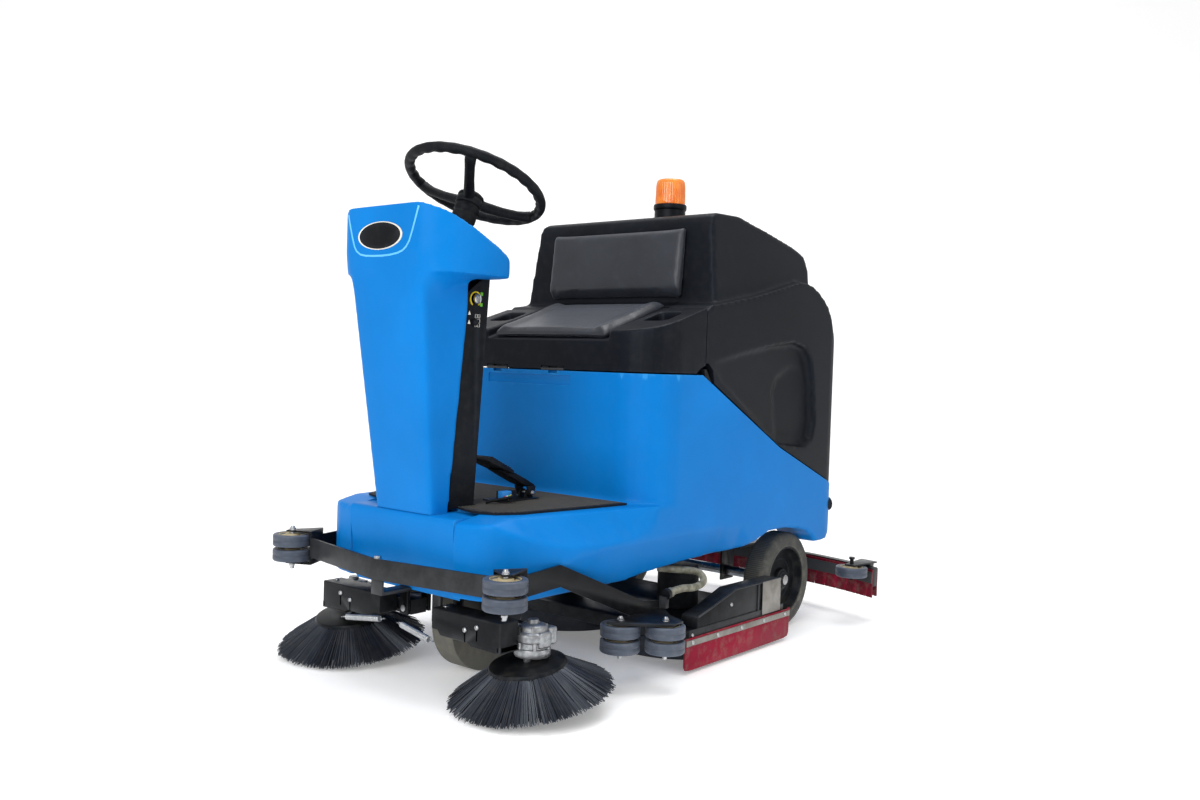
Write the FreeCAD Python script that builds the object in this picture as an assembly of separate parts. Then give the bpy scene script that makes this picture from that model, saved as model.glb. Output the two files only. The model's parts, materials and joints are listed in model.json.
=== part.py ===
import FreeCAD, Part
import math
import os

os.makedirs("parts", exist_ok=True)
Vec = FreeCAD.Vector

# Ride-on floor sweeper and scrubber. Millimetres, +Z up, the front faces -Y, the driver's left is +X.
# The origin lies on the floor under the middle of the machine.

# Driving dimensions
hull_half = 380.0        # half width of the blue hull
hull_top = 780.0         # seam between the hull and the black upper body
platform_z = 440.0       # top of the driver's platform
platform_rear = -290.0   # front wall of the hull, behind the driver's feet
hull_rear = 725.0
hull_bottom = 250.0
wall = 5.0               # wall of the moulded shells
seam_half = 190.0        # half width of the nose between its two seams
gap = 0.5                # joint line between neighbours on one body

roller_radius = 50.0
roller_height = 33.0
roller_pitch = 38.0      # from one roller to the next on a bolt
bolt_radius = 6.0
running = 0.05           # radial clearance of a shaft in its hole

front_roller = (391.0, -817.0, 262.0)
side_rollers = ((388.0, -406.0, 95.0), (470.0, -330.0, 95.0))
squeegee_roller = (465.0, 681.0, 150.0)

bar_low = 275.0
bar_high = 325.0

rear_wheel_radius = 148.0
rear_wheel_y = 474.0
rear_wheel_inner = 275.0
rear_wheel_outer = 349.0
axle_radius = 15.0

drive_y = -515.0
drive_radius = 125.0
drive_width = 75.0

steer_tilt = 23.2        # degrees that the steering wheel leans towards the driver
steer_centre = Vec(0, -568, 1244.5)
steer_radius = 175.0
rim_radius = 13.0
spoke_turn = 40.0

brush_centre = Vec(332, -661, 34.5)
brush_normal = Vec(-0.044, -0.163, 1.0)
brush_tip_radius = 197.0
brush_disc_radius = 92.0
arm_pivot_x = 60.0
arm_pivot_z = 175.0

deck_y = 80.0
deck_half = 425.0
scrub_x = 215.0
scrub_radius = 205.0

blade_half = 515.0
rear_y = 867.0           # back of the squeegee, as far behind the origin as the front rollers are ahead
blade_bow = 100.0        # how far the middle of the squeegee trails its ends
blade_bottom = 82.0
blade_top = 172.0

pedal_x = (45.0, 125.0)
pedal_pivot = (-440.0, 462.0)

hood_bottom = 784.0
hood_hinge_x = (-180.0, 32.0)
knuckle_radius = 3.4
hood_pin_radius = 1.5

beacon_y = 272.0


def topZ(y):
    """Height of the tank's sloping top at y."""
    return 1240 - (y - 177) * 56 / 292


lid_hinge_y = 337.0
lid_hinge_z = topZ(336) + 7


def box(x0, x1, y0, y1, z0, z1):
    return Part.makeBox(x1 - x0, y1 - y0, z1 - z0, Vec(x0, y0, z0))


def cylinder(radius, length, base, axis=Vec(0, 0, 1)):
    return Part.makeCylinder(radius, length, base, axis)


def tube(outer, inner, length, base, axis=Vec(0, 0, 1)):
    return cylinder(outer, length, base, axis).cut(cylinder(inner, length, base, axis))


def polygonFace(corners):
    return Part.Face(Part.makePolygon(corners + corners[:1]))


def sidePrism(outline, x0, x1):
    """Outline of (y, z) points, extruded across the machine."""
    return polygonFace([Vec(x0, y, z) for y, z in outline]).extrude(Vec(x1 - x0, 0, 0))


def planPrism(outline, z0, z1):
    """Outline of (x, y) points, extruded upwards."""
    return polygonFace([Vec(x, y, z0) for x, y in outline]).extrude(Vec(0, 0, z1 - z0))


def frontPrism(outline, y0, y1):
    """Outline of (x, z) points, extruded rearwards."""
    return polygonFace([Vec(x, y0, z) for x, z in outline]).extrude(Vec(0, y1 - y0, 0))


def loft(sections):
    """Sections are (z, half outline) pairs, and each half outline of (x, y) points is mirrored in X."""
    wires = []
    for z, half in sections:
        points = [Vec(x, y, z) for x, y in half] + [Vec(-x, y, z) for x, y in reversed(half)]
        wires.append(Part.makePolygon(points + points[:1]))
    return Part.makeLoft(wires, True, True)


def symmetric(half):
    """Closed outline from its +X half, given from front to back."""
    return half + [(-x, y) for x, y in reversed(half)]


def inset(outline, distance, prism, low, high):
    """A prism whose outline is moved inwards by distance."""
    solid = prism(outline, low, high)
    face = min(solid.Faces, key=lambda f: f.CenterOfMass.x if prism is sidePrism else f.CenterOfMass.z)
    direction = Vec(high - low, 0, 0) if prism is sidePrism else Vec(0, 0, high - low)
    return face.makeOffset2D(-distance, 2).extrude(direction)


def mirrored(shape):
    return shape.mirror(Vec(0, 0, 0), Vec(1, 0, 0))


def tilted(shape, centre=steer_centre):
    """From a frame whose Z is the steering axis to the machine's frame."""
    placed = shape.copy()
    placed.rotate(Vec(0, 0, 0), Vec(1, 0, 0), -steer_tilt)
    placed.translate(centre)
    return placed


def onBrush(shape):
    """From a frame whose Z is the left brush's axis to the machine's frame."""
    placed = shape.copy()
    placed.Placement = FreeCAD.Placement(brush_centre, FreeCAD.Rotation(Vec(0, 0, 1), brush_normal))
    return placed


def save(name, *shapes):
    solids = [solid for shape in shapes for solid in shape.Solids]
    result = solids[0] if len(solids) == 1 else Part.Compound(solids)
    result.exportStep("parts/" + name + ".step")
    print("%-24s solids %2d  valid %s  volume %.0f cm3" % (name, len(solids), result.isValid(), result.Volume / 1000))


def savePair(name, shape):
    save(name + "_left", shape)
    save(name + "_right", mirrored(shape))


def makeFrame():
    rails = [box(s * 120 - 20, s * 120 + 20, -440, 640, 300, 340) for s in (-1, 1)]
    crosses = [box(-100, 100, y, y + 40, 300, 340) for y in (-440, 200, 600)]
    front_plate = box(-150, 150, -716, -400, 292, 300)
    bearing = tube(36, 20 + running, 60, Vec(0, drive_y, 300))
    front_plate = front_plate.cut(cylinder(20 + running, 20, Vec(0, drive_y, 285)))
    mast_guide = box(-70, 70, 640, 648, 190, 340)
    bumper_stay = box(-20, 20, -852, -700, 238, 246).fuse(box(-20, 20, -716, -708, 238, 300))
    bumper_stay = bumper_stay.fuse(box(-20, 20, -852, -846, 238, 274))
    frame = front_plate.fuse(bearing).fuse(mast_guide).fuse(bumper_stay)
    for piece in rails + crosses:
        frame = frame.fuse(piece)
    for s in (-1, 1):
        hanger = box(s * 128 - 3, s * 128 + 3, rear_wheel_y - 35, rear_wheel_y + 35, 120, 310)
        frame = frame.fuse(hanger)
        for y in (-716, -646):
            frame = frame.fuse(box(s * 60 - 15, s * 60 + 15, y, y + 7, 160, 296))
        frame = frame.cut(cylinder(8, 90, Vec(s * arm_pivot_x, -722, arm_pivot_z), Vec(0, 1, 0)))
    frame = frame.cut(cylinder(axle_radius, 400, Vec(-200, rear_wheel_y, rear_wheel_radius), Vec(1, 0, 0)))
    save("chassis_frame", frame.removeSplitter())


def makeAxles():
    axle = cylinder(axle_radius, 2 * rear_wheel_outer - 8,
                    Vec(4 - rear_wheel_outer, rear_wheel_y, rear_wheel_radius), Vec(1, 0, 0))
    pins = [cylinder(8, 84, Vec(s * arm_pivot_x, -719, arm_pivot_z), Vec(0, 1, 0)) for s in (-1, 1)]
    y, z = pedal_pivot
    pedal_pin = cylinder(5, pedal_x[1] - pedal_x[0] - 24, Vec(pedal_x[0] + 12, y, z), Vec(1, 0, 0))
    lid_pin = cylinder(2.5, 240, Vec(-120, lid_hinge_y, lid_hinge_z), Vec(1, 0, 0))
    for x in (-118, 102):
        block = box(x, x + 16, lid_hinge_y - 6, lid_hinge_y + 6, lid_hinge_z - 12, lid_hinge_z + 4)
        lid_pin = lid_pin.fuse(block)
    save("axles_and_pins", axle, *pins, pedal_pin, lid_pin.cut(tankBody(0)))


fender_plan = [(seam_half + 1, -785), (255, -772), (310, -735), (352, -660), (375, -560), (hull_half, -440),
               (hull_half, 655), (360, 705), (310, hull_rear)]
upper_plan = [(265, platform_rear), (325, -274), (364, -235), (hull_half, -175),
              (hull_half, 655), (360, 705), (310, hull_rear)]
hull_side = [(-790, hull_bottom), (-790, platform_z), (platform_rear, platform_z), (platform_rear, hull_top),
             (-72, hull_top), (350, 568), (691, 437), (hull_rear, 408), (hull_rear, 366), (697, 283),
             (644, 259), (591, 259), (570, 281), (530, 302), (474, 314), (398, 322), (310, 322), (238, 300), (173, 283), (-55, 273),
             (-237, 262), (-320, hull_bottom)]


def hullBody(t):
    """The hull's outer form moved inwards by t."""
    lower = inset(symmetric(fender_plan), t, planPrism, 200, platform_z + 1) if t else \
        planPrism(symmetric(fender_plan), 200, platform_z + 1)
    upper = inset(symmetric(upper_plan), t, planPrism, platform_z - 60, hull_top + 1) if t else \
        planPrism(symmetric(upper_plan), platform_z - 60, hull_top + 1)
    side = inset(hull_side, t, sidePrism, -400, 400) if t else sidePrism(hull_side, -400, 400)
    body = lower.fuse(upper).common(side)
    for s in (-1, 1):
        top_slope = [(s * (250 - t), 442), (s * (390 - t), 369), (s * 420, 369), (s * 420, 442)]
        undercut = [(s * (382 - t), 362), (s * (330 - t), 249), (s * 420, 249), (s * 420, 362)]
        body = body.cut(frontPrism(top_slope, -800, platform_rear))
        body = body.cut(frontPrism(undercut, -800, 173))
    return body


def hoodKnuckle(x, length, radius):
    """A round piece on the axis that the hood tilts about."""
    return cylinder(radius, length, Vec(x, platform_rear, hood_bottom), Vec(1, 0, 0))


def makeHull():
    hull = hullBody(0).cut(hullBody(wall))
    hull = hull.cut(box(-318, 318, -770, 715, 200, 262))
    hull = hull.cut(box(5 - rear_wheel_inner, rear_wheel_inner - 5, -770, 715, 200, 335))
    hull = hull.cut(box(-seam_half - 0.5, seam_half + 0.5, -800, -680, 200, 460))
    for x in hood_hinge_x:
        hull = hull.fuse(hoodKnuckle(x - 15, 30, knuckle_radius))
        hull = hull.fuse(box(x - 15, x + 15, platform_rear, platform_rear + 3, hull_top - 10, hood_bottom))
        hull = hull.fuse(hoodKnuckle(x - 40, 80, hood_pin_radius))
    save("hull_shell", hull)


def makeNose():
    def block(t):
        bottom = hull_bottom + 2 if t == 0 else 200
        return loft([(bottom, [(seam_half - t, -769 + t), (seam_half - t, -681 + 2 * t)]),
                     (424 - t, [(seam_half - t, -788 + t), (seam_half - t, -681 + 2 * t)]),
                     (432 - t, [(seam_half - 8 - t, -780 + t), (seam_half - t, -681 + 2 * t)])])
    save("nose_cover", block(0).cut(block(wall)))


head_outline = [(130, -863), (180, -815), (198, -720), (190, -628), (110, -596)]
head_inside = [(128, -858), (175, -812), (193, -720), (185.5, -632), (108, -601)]


def headTop(offset):
    """Everything above the head's sloping top, lowered by offset."""
    return sidePrism([(-900, 1178 - offset), (-500, 991 - offset), (-500, 1400), (-900, 1400)], -250, 250)


def makeColumn():
    outer = loft([(432.5, [(94, -780), (102, -772), (101, -745), (100, -720), (50, -720)]),
                  (960, [(112, -846), (126, -836), (122, -760), (118, -690), (60, -690)]),
                  (1025, head_outline)])
    outer = outer.fuse(planPrism(symmetric(head_outline), 1025, 1200)).cut(headTop(0))
    t = wall
    inner = loft([(432, [(94 - t, -775), (102 - t, -767), (101 - t, -745), (100 - t, -700), (50, -700)]),
                  (960, [(112 - t, -841), (126 - t, -831), (122 - t, -760), (118 - t, -695), (60, -695)]),
                  (1025, head_inside)])
    inner = inner.fuse(planPrism(symmetric(head_inside), 1025, 1200))
    save("column_shell", outer.cut(inner).cut(box(-97, 97, -722, -600, 420, 1003)))

    panel = loft([(441, [(96, -718), (96, -636)]), (1002, [(112, -688), (112, -616)])])
    hollow = loft([(440, [(92, -730), (92, -640)]), (1003, [(108, -700), (108, -620)])])
    key_hole = cylinder(11 + running, 60, Vec(70, -662, 949), Vec(1, 0, 0))
    button_hole = cylinder(8 + running, 60, Vec(70, -662, 893), Vec(1, 0, 0))
    save("column_rear_panel", panel.cut(hollow).cut(key_hole).cut(button_hole).cut(outer))

    plate = planPrism(symmetric([(127, -857), (174, -811), (192, -720), (184.5, -633), (107, -602)]), 1000, 1200)
    plate = plate.cut(headTop(5)).common(headTop(11))
    neck = tilted(cylinder(36, 400, Vec(0, 0, -400)))
    save("dash_panel", plate.cut(neck))


def makeSteering():
    rim = Part.makeTorus(steer_radius, rim_radius)
    hub_drop = -44
    wheel = rim.fuse(cylinder(33, 30, Vec(0, 0, hub_drop - 15)))
    for turn in range(3):
        spoke = Part.makeLoft([Part.Wire(Part.makeCircle(12, Vec(0, -20, hub_drop), Vec(0, 1, 0))),
                               Part.Wire(Part.makeCircle(9, Vec(0, -steer_radius, 0), Vec(0, 1, 0)))], True)
        spoke.rotate(Vec(0, 0, 0), Vec(0, 0, 1), turn * 120 + spoke_turn)
        wheel = wheel.fuse(spoke)
    save("steering_wheel", tilted(wheel))
    shaft = cylinder(31, 170, Vec(0, 0, hub_drop - 15.5 - 170)).fuse(cylinder(12, 200, Vec(0, 0, -380)))
    save("steering_shaft", tilted(shaft))


def makeControls():
    key = cylinder(11, 30, Vec(86, -662, 949), Vec(1, 0, 0)).fuse(box(114, 126, -671, -653, 947, 951))
    save("key_switch", key)
    button = cylinder(8, 26, Vec(90, -662, 893), Vec(1, 0, 0))
    save("horn_button", button)


def makePedal():
    x0, x1 = pedal_x
    plate = sidePrism([(-619, 554), (-608, 566), (-590, 562), (-428, 485), (-424, 478), (-446, 476), (-602, 545)],
                      x0, x1)
    y, z = pedal_pivot
    ears = [box(x, x + 8, y - 12, y + 12, z - 6, z + 16) for x in (x0 + 14, x1 - 22)]
    bore = cylinder(5 + running, 100, Vec(x0 - 5, y, z), Vec(1, 0, 0))
    pedal = plate
    for ear in ears:
        pedal = pedal.fuse(ear)
    save("pedal", pedal.cut(bore))
    base = box(x0 + 6, x1 - 6, -560, -424, 446.5, 450)
    for x in (x0 + 24, x1 - 32):
        base = base.fuse(sidePrism([(y - 12, 448), (y + 12, 448), (y + 8, z + 8), (y - 8, z + 8)], x, x + 8))
    base = base.cut(cylinder(5, 100, Vec(x0 - 5, y, z), Vec(1, 0, 0)))
    sensor = box(x1 - 30, x1 - 8, -556, -505, 448, 474)
    save("pedal_base", base.fuse(sensor))
    lead = roundedTube([Vec(x1 - 7.0, -530, 463), Vec(x1 + 14, -540, 463), Vec(x1 + 16, -572, 460),
                        Vec(x1 - 4, -598, 455), Vec(x1 - 16, -606, 450.5)], 4.0)
    save("pedal_lead", lead)


def roundedTube(points, radius):
    """A tube along straight runs joined by tangent arcs."""
    edges = []
    start = points[0]
    for i in range(1, len(points) - 1):
        before = points[i - 1] - points[i]
        after = points[i + 1] - points[i]
        reach = 0.45 * min(before.Length, after.Length)
        turn = math.pi - before.getAngle(after)
        a = points[i] + before.normalize() * reach
        b = points[i] + after.normalize() * reach
        bend = reach / math.tan(turn / 2)
        towards = (before + after).normalize()
        middle = points[i] + towards * (bend / math.cos(turn / 2) - bend)
        print("    bend radius %.0f at turn %.0f degrees" % (bend, math.degrees(turn)))
        edges.append(Part.LineSegment(start, a).toShape())
        edges.append(Part.Arc(a, middle, b).toShape())
        start = b
    edges.append(Part.LineSegment(start, points[-1]).toShape())
    path = Part.Wire(edges)
    profile = Part.Wire(Part.makeCircle(radius, points[0], points[1] - points[0]))
    solid = path.makePipeShell([profile], True, True)
    expected = math.pi * radius ** 2 * path.Length
    print("    tube volume %.0f, section times length %.0f" % (solid.Volume, expected))
    return solid


def makeMat():
    outline = [(98, -678), (190, -664), (236, -632), (256, platform_rear - gap)]
    mat = planPrism(symmetric(outline), platform_z + 0.5, platform_z + 6)
    save("floor_mat", mat.cut(box(-98.5, 98.5, -690, -633, 430, 460)))


hood_side = [(platform_rear, hood_bottom), (platform_rear, 884), (-284, 893), (-240, 905), (-60, 960),
             (-60, hood_bottom)]
hood_plan = [(265, platform_rear), (325, -274), (364, -235), (hull_half - 1, -175), (hull_half - 1, -60)]


def makeHood():
    outer = planPrism(symmetric(hood_plan), 780, 1000).common(sidePrism(hood_side, -400, 400))
    inner = inset(symmetric(hood_plan), wall, planPrism, 700, 1000)
    inner = inner.common(sidePrism([(-285, 700), (-285, 857), (-280, 865), (-65, 949), (-65, 700)], -400, 400))
    seat_recess = sidePrism([(-300, 856), (-290, 860), (-284, 870), (-50, 960), (-50, 1100), (-300, 1100)], -216, 216)
    hood = outer.cut(seat_recess)
    for s in (-1, 1):
        pocket = box(min(s * 240, s * 340), max(s * 240, s * 340), -185, -95, 868, 1000)
        keep = box(min(s * 235, s * 345), max(s * 235, s * 345), -190, -90, 863, 1000)
        inner = inner.cut(keep)
        hood = hood.cut(pocket)
    hood = hood.cut(inner)
    for x in hood_hinge_x:
        hood = hood.cut(box(x - 15.3, x + 15.3, platform_rear - 5, platform_rear + 10, hood_bottom - 1, 792))
        for start in (x - 40.3, x + 15.3):
            hood = hood.fuse(hoodKnuckle(start, 25, knuckle_radius))
        hood = hood.cut(hoodKnuckle(x - 45, 90, hood_pin_radius + running))
    save("seat_hood", hood)
    cushion = sidePrism([(-282, 871.5), (-284, 882), (-272, 892), (-14, 992), (-11, 976)], -213, 213)
    save("seat_cushion", cushion)


tank_lower_side = [(-56, 786), (-56, 953), (-30, 975), (12, 978), (200, 1012), (455, 1075), (560, 1050),
                   (630, 1004), (690, 900), (722, 709), (hull_rear, 444), (694, 441), (353, 572), (-66, 785)]
tank_upper_side = [(12, 900), (12, 985), (30, 1228), (60, 1236), (177, 1240), (469, 1184), (540, 1158),
                   (560, 1120), (566, 1000), (400, 900)]
tank_plan = [(hull_half - 2, -57), (hull_half - 2, 655), (358, 705), (308, hull_rear)]


def tankBody(t):
    """The recovery tank's outer form moved inwards by t."""
    if t:
        lower = inset(tank_lower_side, t, sidePrism, -400, 400)
        upper = inset(tank_upper_side, t, sidePrism, t - 355, 355 - t)
        plan = inset(symmetric(tank_plan), t, planPrism, 400, 1300)
    else:
        lower = sidePrism(tank_lower_side, -400, 400)
        upper = sidePrism(tank_upper_side, -355, 355)
        plan = planPrism(symmetric(tank_plan), 400, 1300)
    for s in (-1, 1):
        slope = [(s * (321 - t), 1240), (s * (354 - t), 975), (s * 420, 975), (s * 420, 1300), (s * (313 - t), 1300)]
        upper = upper.cut(frontPrism(slope, -100, 700))
    body = lower.common(plan).fuse(upper)
    return body.cut(box(-226 - t, 226 + t, -70, 11 + t, 946 - t, 1300)) if t == 0 else \
        body.cut(box(-226 - t, 226 + t, -70, 12 + t, 946 - t, 1010))


def makeTank():
    pocket = box(-120, 120, 358, 456, 1090, 1300)
    keep = box(-125, 125, 353, 461, 1085, 1300)
    tank = tankBody(0).cut(tankBody(wall).cut(keep)).cut(pocket)
    save("recovery_tank", tank)

    lid = sidePrism([(342, topZ(342) + 1), (342, topZ(342) + 12), (468, topZ(468) + 12), (468, topZ(468) + 1)],
                    -150, 150)
    for x in (-121, 99):
        lid = lid.cut(box(x, x + 22, 330, 346, 1190, 1240))
    lid = lid.fuse(cylinder(5, 196, Vec(-98, lid_hinge_y, lid_hinge_z), Vec(1, 0, 0)))
    lid = lid.fuse(box(-98, 98, lid_hinge_y, lid_hinge_y + 8, lid_hinge_z - 4, lid_hinge_z + 3))
    lid = lid.cut(cylinder(2.5 + running, 320, Vec(-160, lid_hinge_y, lid_hinge_z), Vec(1, 0, 0)))
    save("tank_lid", lid)
    print("    lid hinge at z %.1f" % lid_hinge_z)

    pad = sidePrism([(-20, 1015), (1, 1188), (10, 1197), (27, 1200), (11.4, 986)], -254, 254)
    save("backrest_pad", pad)
    motor = cylinder(70, 130, Vec(0, 150, 960)).fuse(cylinder(30, 40, Vec(0, 150, 1090)))
    save("vacuum_motor", motor)


def makeBeacon():
    low = topZ(beacon_y) - 12
    base = Part.makeCone(54, 49, 1290 - low, Vec(0, beacon_y, low)).fuse(cylinder(52, 16, Vec(0, beacon_y, 1290)))
    lamp = cylinder(22, 56, Vec(0, beacon_y, 1300))
    save("beacon_base", base.fuse(lamp).cut(tankBody(0)))
    lens = Part.makeCone(48, 45, 70, Vec(0, beacon_y, 1306.2)).fuse(cylinder(40, 9, Vec(0, beacon_y, 1376)))
    lens = lens.cut(Part.makeCone(45, 42, 66, Vec(0, beacon_y, 1306)))
    save("beacon_lens", lens)


def makeBatteries():
    blocks = [box(x, x + 180, y, y + 255, 341, 580) for x in (-185, 5) for y in (-275, -15)]
    save("battery_pack", *blocks)


def makeBumper():
    front = planPrism([(0, -861), (338, -801), (337, -795), (0, -855), (-337, -795), (-338, -801)], bar_low, bar_high)
    pieces = [front]
    for s in (-1, 1):
        x0, x1 = sorted((s * 369, s * 375))
        rear = sidePrism([(-742, bar_high), (-742, bar_low), (-618, bar_low + 8), (-300, 152), (-205, 142),
                          (-205, 190), (-300, 204), (-618, bar_high + 9)], x0, x1)
        pieces.append(rear)
        plate = [(339, -801), (378, -735), (408, -812), (398, -832)]
        for z in (254, 337.5):
            level = planPrism([(s * x, y) for x, y in plate], z, z + 4)
            hole = cylinder(bolt_radius, 20, Vec(s * front_roller[0], front_roller[1], z - 5))
            pieces.append(level.cut(hole))
        spine = planPrism([(s * x, y) for x, y in [(339, -801), (378, -735), (374, -733), (335, -799)]], 254, 341.5)
        pieces.append(spine)
    bar = pieces[0]
    for piece in pieces[1:]:
        bar = bar.fuse(piece)

    plates = []
    for s in (-1, 1):
        outline = [(375.3, -446), (402, -448), (508, -350), (502, -300), (440, -270), (375.3, -212)]
        plate = planPrism([(s * x, y) for x, y in outline], 168.5, 173.5)
        for x, y, z in side_rollers:
            plate = plate.cut(cylinder(bolt_radius, 20, Vec(s * x, y, 160)))
        plates.append(plate)
    fitting = cylinder(14, 12, Vec(391.6, -225.5, 211), Vec(0.02, 1, 0.1)).fuse(box(376, 398, -232, -218, 176, 206))
    save("bumper_bar", *bar.removeSplitter().Solids, *plates, fitting)


def hexHead(x, y, z):
    corners = [(x + 10 * math.cos(math.radians(a)), y + 10 * math.sin(math.radians(a))) for a in range(0, 360, 60)]
    return planPrism(corners, z, z + 6.5)


def rollerDisc(z):
    disc = tube(roller_radius, bolt_radius + running, roller_height, Vec(0, 0, z))
    for low in (z, z + roller_height - 5):
        disc = disc.cut(tube(36, 20, 5, Vec(0, 0, low)))
    return disc


def makeRollers():
    def stack(x, y, z, count):
        discs = [rollerDisc(z + i * roller_pitch) for i in range(count)]
        for disc in discs:
            disc.translate(Vec(x, y, 0))
        return Part.Compound(discs)

    def bolt(x, y, z, height):
        return cylinder(bolt_radius, height, Vec(x, y, z)).fuse(hexHead(x, y, z + height - 0.2))

    savePair("front_rollers", stack(*front_roller, 2))
    savePair("side_rollers_front", stack(*side_rollers[0], 2))
    savePair("side_rollers_rear", stack(*side_rollers[1], 2))
    savePair("squeegee_roller", stack(*squeegee_roller, 1))
    x, y, z = front_roller
    left = [bolt(x, y, 246, 96)]
    left += [bolt(x, y, 86, 88) for x, y, z in side_rollers]
    save("roller_bolts", *left, *[mirrored(b) for b in left])
    x, y, z = squeegee_roller
    left = bolt(x, y, 140, 66)
    return left


def makeRearWheels():
    width = rear_wheel_outer - rear_wheel_inner
    x = rear_wheel_inner
    centre = Vec(x, rear_wheel_y, rear_wheel_radius)
    across = Vec(1, 0, 0)
    tyre = tube(rear_wheel_radius, 104, width, centre, across)
    outer_edges = [e for e in tyre.Edges if abs(e.BoundBox.YLength - 2 * rear_wheel_radius) < 0.5 and e.Length > 900]
    tyre = tyre.makeFillet(10, outer_edges)
    savePair("rear_tyre", tyre)
    hub = tube(103.9, axle_radius + running, width - 6, centre + Vec(3, 0, 0), across)
    hub = hub.cut(tube(92, 34, 26, centre + Vec(width - 29, 0, 0), across))
    hub = hub.cut(tube(92, 34, 26, centre + Vec(3, 0, 0), across))
    savePair("rear_hub", hub)


def makeDriveUnit():
    centre = Vec(-drive_width / 2, drive_y, drive_radius)
    across = Vec(1, 0, 0)
    wheel = tube(drive_radius, 14 + running, drive_width, centre, across)
    save("drive_wheel", wheel.cut(tube(85, 30, 18, centre, across)))
    fork = box(-60, 60, drive_y - 45, drive_y + 45, 262, 276)
    for x0 in (-60, 48):
        fork = fork.fuse(box(x0, x0 + 12, drive_y - 35, drive_y + 35, 95, 270))
    fork = fork.cut(cylinder(14, 200, centre - Vec(60, 0, 0), across))
    fork = fork.fuse(cylinder(20, 88, Vec(0, drive_y, 274)))
    save("drive_fork", fork.fuse(cylinder(14, 120, Vec(-60, drive_y, drive_radius), across)))
    save("drive_motor", cylinder(52, 50, Vec(60.3, drive_y, drive_radius + 42), across))


def makeSideBrushes():
    arm = box(46, 330, -704, -652, 158, 196).cut(cylinder(38.5, 200, Vec(332, -661, 100)))
    arm = arm.fuse(box(96, 328, -764, -703.9, 140, 212))
    arm = arm.cut(box(101, 323, -759, -709, 130, 207))
    arm = arm.fuse(box(286, 330, -704, -695, 158, 196))
    arm = arm.cut(cylinder(8 + running, 100, Vec(arm_pivot_x, -722, arm_pivot_z), Vec(0, 1, 0)))
    savePair("brush_arm", arm)
    motor = cylinder(38, 92, Vec(332, -661, 122)).fuse(box(300, 364, -640, -615, 150, 190))
    shaft = onBrush(cylinder(9, 40, Vec(0, 0, 70)))
    savePair("brush_motor", motor.fuse(shaft))
    disc = cylinder(brush_disc_radius, 10, Vec(0, 0, 66)).fuse(Part.makeCone(84, 58, 3, Vec(0, 0, 76)))
    disc = disc.cut(cylinder(9 + running, 60, Vec(0, 0, 60)))
    savePair("brush_disc", onBrush(disc))
    outer = Part.makeCone(brush_tip_radius, brush_disc_radius - 1, 65.7)
    inner = Part.makeCone(brush_tip_radius - 34, brush_disc_radius - 24, 65.7)
    savePair("brush_bristles", onBrush(outer.cut(inner)))


def makeSprings():
    start = Vec(38.6, -806, 167)
    along = Vec(115.4, -13, -13.4)
    left = tube(8, 5, along.Length, start, along)
    save("brush_springs", left, mirrored(left))


def makeDeck():
    y0, y1 = deck_y - 242, deck_y + 220
    housing = box(-deck_half, deck_half, y0, y1, 72, 108).cut(box(5 - deck_half, deck_half - 5, y0 + 5, y1 - 5, 60, 102))
    for s in (-1, 1):
        x0, x1 = sorted((s * 372, s * deck_half))
        housing = housing.fuse(sidePrism([(y0 + 40, 105), (y0 + 40, 140), (y0 + 120, 158), (y0 + 220, 190),
                                          (y1, 190), (y1, 105)], x0, x1))
        housing = housing.cut(cylinder(26, 40, Vec(s * scrub_x, deck_y, 90)))
    save("deck_housing", housing)
    motor = cylinder(60, 118, Vec(scrub_x, deck_y, 108.3)).fuse(cylinder(10, 50, Vec(scrub_x, deck_y, 60)))
    save("scrub_motors", motor, mirrored(motor))
    disc = cylinder(scrub_radius - 8, 14, Vec(scrub_x, deck_y, 58)).fuse(cylinder(24, 28, Vec(scrub_x, deck_y, 70)))
    disc = disc.fuse(tube(scrub_radius, 90, 55.2, Vec(scrub_x, deck_y, 3)))
    savePair("scrub_brush", disc.cut(cylinder(10 + running, 100, Vec(scrub_x, deck_y, 50))))
    skirt = box(429, 435, -192, 346, 8, 94)
    strip = box(435.2, 438.2, -188, 342, 74, 90)
    for i in range(5):
        y = -160 + i * 119
        strip = strip.fuse(cylinder(7, 5, Vec(438, y, 82), Vec(1, 0, 0)))
    hanger = box(deck_half + 0.2, 428.8, -165, 320, 84, 150)
    save("deck_skirts", skirt, mirrored(skirt))
    save("skirt_clamps", strip, mirrored(strip), hanger, mirrored(hanger))


def makeHose():
    route = [Vec(392, -213, 213), Vec(394, -160, 220), Vec(399, -100, 212), Vec(394, -46, 222),
             Vec(368, -40, 246), Vec(334, -88, 250), Vec(302, -140, 256)]
    save("water_hose", roundedTube(route, 10.0))


def arcBand(y_shift, thickness, z0, z1, half=blade_half):
    """A band across the machine, bowed to the rear."""
    radius = (half ** 2 + blade_bow ** 2) / (2 * blade_bow)
    centre = Vec(0, rear_y - radius - y_shift, z0)
    ring = tube(radius, radius - thickness, z1 - z0, centre)
    return ring.common(box(-half, half, rear_y - blade_bow - 60, rear_y + 10, z0 - 1, z1 + 1))


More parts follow.
